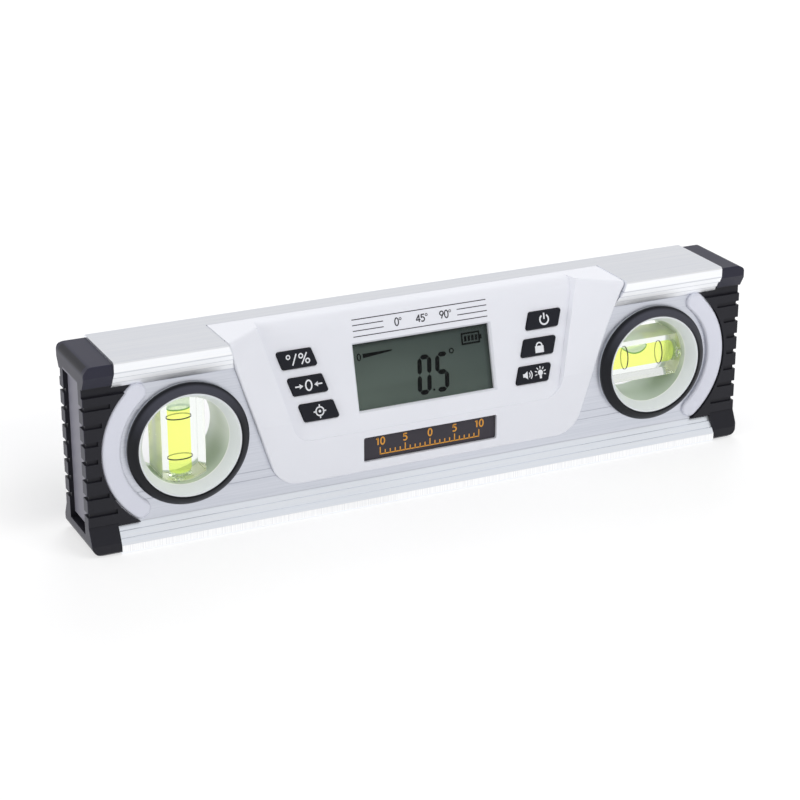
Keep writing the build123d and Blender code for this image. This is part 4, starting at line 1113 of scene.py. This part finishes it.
def on_panel(flat, lift):
    """Points (x, height) on the tilted panel, lifted square to it. Past PANEL_END the panel falls back
    along a circle: fall = r - sqrt(r^2 - s^2), where s is the way past that end."""
    along = (flat[..., 1] - PANEL_Z) / cos(TILT)
    past = np.maximum(along - (PANEL_END - PANEL_Z) / cos(TILT), 0)
    lift = lift - (ROOF_ROUND - np.sqrt(ROOF_ROUND**2 - past**2))
    depth = PANEL_Y + along * sin(TILT) - lift * cos(TILT)
    return np.stack([flat[..., 0], depth, PANEL_Z + along * cos(TILT) + lift * sin(TILT)], axis=-1)


def on_plate(flat, lift):
    """Points (x, height) on the upright plate below the display."""
    return np.stack([flat[..., 0], PLATE_FACE - lift + 0 * flat[..., 0], flat[..., 1]], axis=-1)


def slab(strip, lay, low, high):
    """Thin closed solid of one ribbon: four corners carried along its rails."""
    left, right, closed = strip
    ring = np.stack([lay(left, low), lay(left, high), lay(right, high), lay(right, low)], axis=1)
    rows = len(left)
    faces = grid_faces(rows, 4, wrap_rows=closed)
    return ring.reshape(-1, 3), faces if closed else faces + closed_ends(rows, 4)


def ink(name, strips, lay, low, high, finish, **where):
    """All ribbons of one print as a single piece."""
    return piece(name, joined([slab(strip, lay, low, high) for strip in strips]), finish, **where)


white_ink = printed("white_ink", (226, 228, 233), 0.5, 0.3)
dark_ink = printed("dark_ink", (50, 49, 56), 0.5, 0.05)
orange_ink = printed("orange_ink", (222, 154, 58), 0.45, 0.06)
segment_ink = printed("segment_ink", (6, 8, 9), 0.5, 0.02)
segment_ink.set("Specular IOR Level", 0.04)
print("white, dark and orange ink, and black for the display")

# %% [markdown]
# Figures are drawn from the same ribbons, in a box that is 1 high, and then scaled and moved. A font
# would do as well, but bars and arcs keep the strokes of all signs alike. Only the figures that are
# used are drawn.

# %% Numerals
FIGURE_PITCH = 0.72


def moved(strips, scale, middle):
    """Ribbons that are drawn about the origin, scaled and put at a middle."""
    middle = np.array(middle, float)
    return [(middle + scale * left, middle + scale * right, closed) for left, right, closed in strips]


def numeral(figure, size, middle, width):
    """One figure as ribbons, drawn in a box that is 1 high and then scaled to its size."""
    pen = width / size
    strokes = {
        "0": [arc((0, 0), 0.27, pen, stretch=1.85)],
        "1": [bar((0.05, -0.5), (0.05, 0.5), pen), bar((-0.2, 0.3), (0.05, 0.47), pen)],
        "4": [
            bar((0.15, -0.5), (0.15, 0.5), pen),
            bar((-0.33, -0.2), (0.36, -0.2), pen),
            bar((-0.3, -0.2), (0.15, 0.45), pen),
        ],
        "5": [
            bar((-0.24, 0.45), (0.26, 0.45), pen),
            bar((-0.2, 0.45), (-0.22, 0.0), pen),
            arc((-0.05, -0.18), 0.29, pen, -2.4, 2.2),
        ],
        "9": [arc((0, 0.2), 0.27, pen), bar((0.27, 0.22), (-0.08, -0.5), pen)],
    }
    return moved(strokes[figure], size, middle)


def number(text, size, middle, width):
    """Several figures side by side about a middle."""
    pitch = FIGURE_PITCH * size
    start = middle[0] - pitch * (len(text) - 1) / 2
    found = [numeral(figure, size, (start + pitch * i, middle[1]), width) for i, figure in enumerate(text)]
    return sum(found, [])


# %% [markdown]
# ## Lines above the display
#
# Four fine dark lines run across the panel above the display, and the middle two leave a gap. The
# gap holds plain angles, as a scale would. All of it is ink a few hundredths of a millimetre thick.

# %% Panel lines
INK = (-0.01, 0.03)
LINE_HEIGHTS = (63.95, 62.1, 60.2, 58.3)
LINE_HALF = 25.5
LINE_GAP = 14.0
LINE_WIDTH = 0.3
GAP_MIDDLE = (LINE_HEIGHTS[1] + LINE_HEIGHTS[2]) / 2
ANGLES = ("0", "45", "90")
ANGLE_PITCH = 9.0
ANGLE_SIZE = 2.5
ANGLE_STROKE = 0.42
DEGREE_ASIDE = 0.5
DEGREE_RISE = 0.85
DEGREE_ROUND = 0.38
DEGREE_STROKE = 0.24

lines = [bar((-LINE_HALF, LINE_HEIGHTS[i]), (LINE_HALF, LINE_HEIGHTS[i]), LINE_WIDTH) for i in (0, 3)]
for height in LINE_HEIGHTS[1:3]:
    for side in (-1, 1):
        lines.append(bar((side * LINE_GAP, height), (side * LINE_HALF, height), LINE_WIDTH))
for i, text in enumerate(ANGLES):
    spot = ANGLE_PITCH * (i - 1)
    lines += number(text, ANGLE_SIZE, (spot, GAP_MIDDLE), ANGLE_STROKE)
    text_end = spot + FIGURE_PITCH / 2 * ANGLE_SIZE * len(text)
    degree = (text_end + DEGREE_ASIDE, GAP_MIDDLE + DEGREE_RISE)
    lines.append(arc(degree, DEGREE_ROUND, DEGREE_STROKE))
ink("panel_lines", lines, on_panel, *INK, dark_ink)

# %% [markdown]
# ## Scale on the dark plate
#
# The plate under the display is dark and carries a plain scale in amber: a base line, ticks, longer
# ones at every fifth, and their numbers. The ticks are one list of bars.

# %% Plate scale
TICKS = 10
LONG_EVERY = 5
TICK_PITCH = 1.9
TICK_HEIGHTS = {True: 2.6, False: 1.5}
SCALE_FOOT = 17.1
SCALE_STROKE = 0.4
NUMBER_HEIGHT = 21.9
NUMBER_SIZE = 2.6
NUMBER_STROKE = 0.5

scale_half = TICKS * TICK_PITCH + SCALE_STROKE / 2
strips = [bar((-scale_half, SCALE_FOOT), (scale_half, SCALE_FOOT), SCALE_STROKE)]
for tick in range(-TICKS, TICKS + 1):
    top = SCALE_FOOT + TICK_HEIGHTS[tick % LONG_EVERY == 0]
    strips.append(bar((tick * TICK_PITCH, SCALE_FOOT), (tick * TICK_PITCH, top), SCALE_STROKE))
for tick in range(-TICKS, TICKS + 1, LONG_EVERY):
    strips += number(str(abs(tick)), NUMBER_SIZE, (tick * TICK_PITCH, NUMBER_HEIGHT), NUMBER_STROKE)
ink("plate_scale", strips, on_plate, *INK, orange_ink)

# %% [markdown]
# ## Reading on the display
#
# A liquid crystal digit is seven lozenges that lean a little. A table of which of the seven are dark
# for each figure is all that a digit needs. The point is a small square and the degree sign a ring.

# %% Display digits
DIGIT_WIDTH = 3.7
DIGIT_HEIGHT = 11.8
DIGIT_FOOT = 36.0
STROKE = 1.6
SEGMENT_GAP = 0.16
LEAN = 0.10
LIT = {"0": "abcdef", "5": "afgcd"}
DIGIT_PLACES = {"0": -2.2, "5": 4.6}
POINT_PLACE = 3.3
POINT_SIZE = 0.7
DEGREE_PLACE = (11.3, 48.4)
DEGREE_RING = (0.75, 0.4)


def digit(figure, left):
    """Lozenges of one figure: a top, b and c right, d foot, e and f left, g middle."""
    low, mid, high = 0.0, DIGIT_HEIGHT / 2, DIGIT_HEIGHT
    ends = {
        "a": ((0, high), (1, high)),
        "b": ((1, high), (1, mid)),
        "c": ((1, mid), (1, low)),
        "d": ((0, low), (1, low)),
        "e": ((0, mid), (0, low)),
        "f": ((0, high), (0, mid)),
        "g": ((0, mid), (1, mid)),
    }

    def at(share, rise):
        return np.array([left + share * DIGIT_WIDTH + LEAN * rise, DIGIT_FOOT + rise])

    found = []
    for name in LIT[figure]:
        start, end = at(*ends[name][0]), at(*ends[name][1])
        trim = SEGMENT_GAP * (end - start) / np.linalg.norm(end - start)
        found.append(lozenge(start + trim, end - trim, STROKE))
    return found


reading = sum([digit(figure, left) for figure, left in DIGIT_PLACES.items()], [])
reading.append(bar((POINT_PLACE, DIGIT_FOOT), (POINT_PLACE, DIGIT_FOOT + POINT_SIZE), POINT_SIZE))
reading.append(arc(DEGREE_PLACE, *DEGREE_RING))
print(f"reading of {len(reading)} segments")

# %% [markdown]
# A charge sign and a tilt wedge stand above the digits. The charge sign is a frame of four bars with
# a nub and four leaning fills. The wedge is one ribbon that gets narrower, after a small zero. All of
# it lies on the front of the liquid crystal cell, 2 mm behind the panel.

# %% Display signs
CELL_FRONT = -2.0
SEGMENT = (CELL_FRONT + 0.015, CELL_FRONT + 0.045)
BATTERY = (15.8, 49.9, 22.4, 53.4)
FRAME = 0.6
FILLS = 4
FILL_START = 1.2
FILL_PITCH = 1.4
FILL_INSET = 0.8
FILL_LEAN = 0.15
FILL_WIDTH = 0.95
NUB_INSET = 1.0
NUB_WIDTH = 0.8
ZERO_PLACE = (-23.5, 51.2)
WEDGE_ENDS = ((-22.0, 51.4), (-11.0, 51.9))
WEDGE_WIDTHS = (1.5, 0.5)

left, low, right, high = BATTERY
for height in (low, high):
    reading.append(bar((left, height), (right, height), FRAME))
for spot in (left, right):
    reading.append(bar((spot, low - FRAME / 2), (spot, high + FRAME / 2), FRAME))
reading.append(bar((right + FRAME, low + NUB_INSET), (right + FRAME, high - NUB_INSET), NUB_WIDTH))
for fill in range(FILLS):
    spot = left + FILL_START + FILL_PITCH * fill
    reading.append(bar((spot, low + FILL_INSET), (spot + FILL_LEAN, high - FILL_INSET), FILL_WIDTH))
reading.append(arc(ZERO_PLACE, 0.6, 0.42, stretch=1.8))
reading.append(ribbon(*WEDGE_ENDS, WEDGE_WIDTHS))
ink("display_reading", reading, on_panel, *SEGMENT, segment_ink)

# %% [markdown]
# ## Signs on the keys
#
# Each key carries a small white sign: units, zero, target, power, lock, and sound with light. They are
# drawn about the origin from the same ribbons, in millimetres.

# %% Drawing the signs
ORIGIN = np.zeros(2)
BOTH = (-1, 1)


def rays(middle, inner, outer, width, turns):
    """Short bars that stand round a middle."""
    return [bar(middle + inner * ray(turn), middle + outer * ray(turn), width) for turn in turns]


unit_sign = [arc((-2.9, 0.9), 0.55, 0.35), bar((-1.7, -1.6), (-0.3, 1.6), 0.4)]
unit_sign += [arc((1.1, 0.8), 0.6, 0.38), arc((3.1, -0.8), 0.6, 0.38), bar((1.2, -1.6), (3.0, 1.6), 0.4)]
zero_sign = [arc(ORIGIN, 0.95, 0.45, stretch=1.5)]
for side in BOTH:
    zero_sign.append(bar((side * 4.3, 0), (side * 2.6, 0), 0.42))
    zero_sign.append(ribbon((side * 2.9, 0), (side * 1.75, 0), [1.5, POINT]))
target_sign = [arc(ORIGIN, 1.25, 0.4), dot(ORIGIN, 0.4)]
target_sign += rays(ORIGIN, 0.95, 2.0, 0.38, np.arange(4) * pi / 2)
power_sign = [arc(ORIGIN, 1.45, 0.5, pi / 2 + 0.6, 5 * pi / 2 - 0.6), bar((0, 0.1), (0, 1.95), 0.5)]
lock_sign = [bar((0, -1.75), (0, 0.3), 2.9), arc((0, 0.3), 0.95, 0.42, 0, pi)]
lock_sign += [bar((side * 0.95, 0.2), (side * 0.95, 0.32), 0.42) for side in BOTH]
sound_sign = [bar((-3.9, 0), (-3.3, 0), 1.0), ribbon((-3.3, 0), (-2.3, 0), [1.0, 2.4])]
sound_sign += [arc((-2.5, 0), reach, 0.32, -0.75, 0.75) for reach in (1.0, 1.7)]
lamp_spot = np.array([2.1, 0.2])
light_sign = [dot(lamp_spot, 0.85), bar(lamp_spot - [0, 0.7], lamp_spot - [0, 1.75], 0.75)]
light_sign += rays(lamp_spot, 1.2, 1.95, 0.3, np.linspace(-0.35, pi + 0.35, 7))
SIGNS = [unit_sign, zero_sign, target_sign, power_sign, lock_sign, sound_sign + light_sign]
print(f"{len(SIGNS)} signs of {[len(sign) for sign in SIGNS]} ribbons")

# %% [markdown]
# The keys stand in two columns of three that follow the slanted sides of the housing. Each sign is
# moved to the middle of its key, laid on its top and rides on the body of the key, so it goes in with
# the key when that is pressed.

# %% Signs on the keys
KEY_X = 46.93
KEY_Z = 54.25
KEY_STEP_X = 2.95
KEY_STEP_Z = 9.03
KEY_TOP = 1.0
SIGN = (KEY_TOP - 0.01, KEY_TOP + 0.03)
SIGN_SCALE = 1.15

for i, (name, strips) in enumerate(zip(KEY_NAMES, SIGNS)):
    side, row = divmod(i, 3)
    middle = ((2 * side - 1) * (KEY_X - KEY_STEP_X * row), KEY_Z - KEY_STEP_Z * row)
    placed = moved(strips, SIGN_SCALE, middle)
    ink(f"sign_{name}", placed, on_panel, *SIGN, white_ink, body=f"button_{name}")
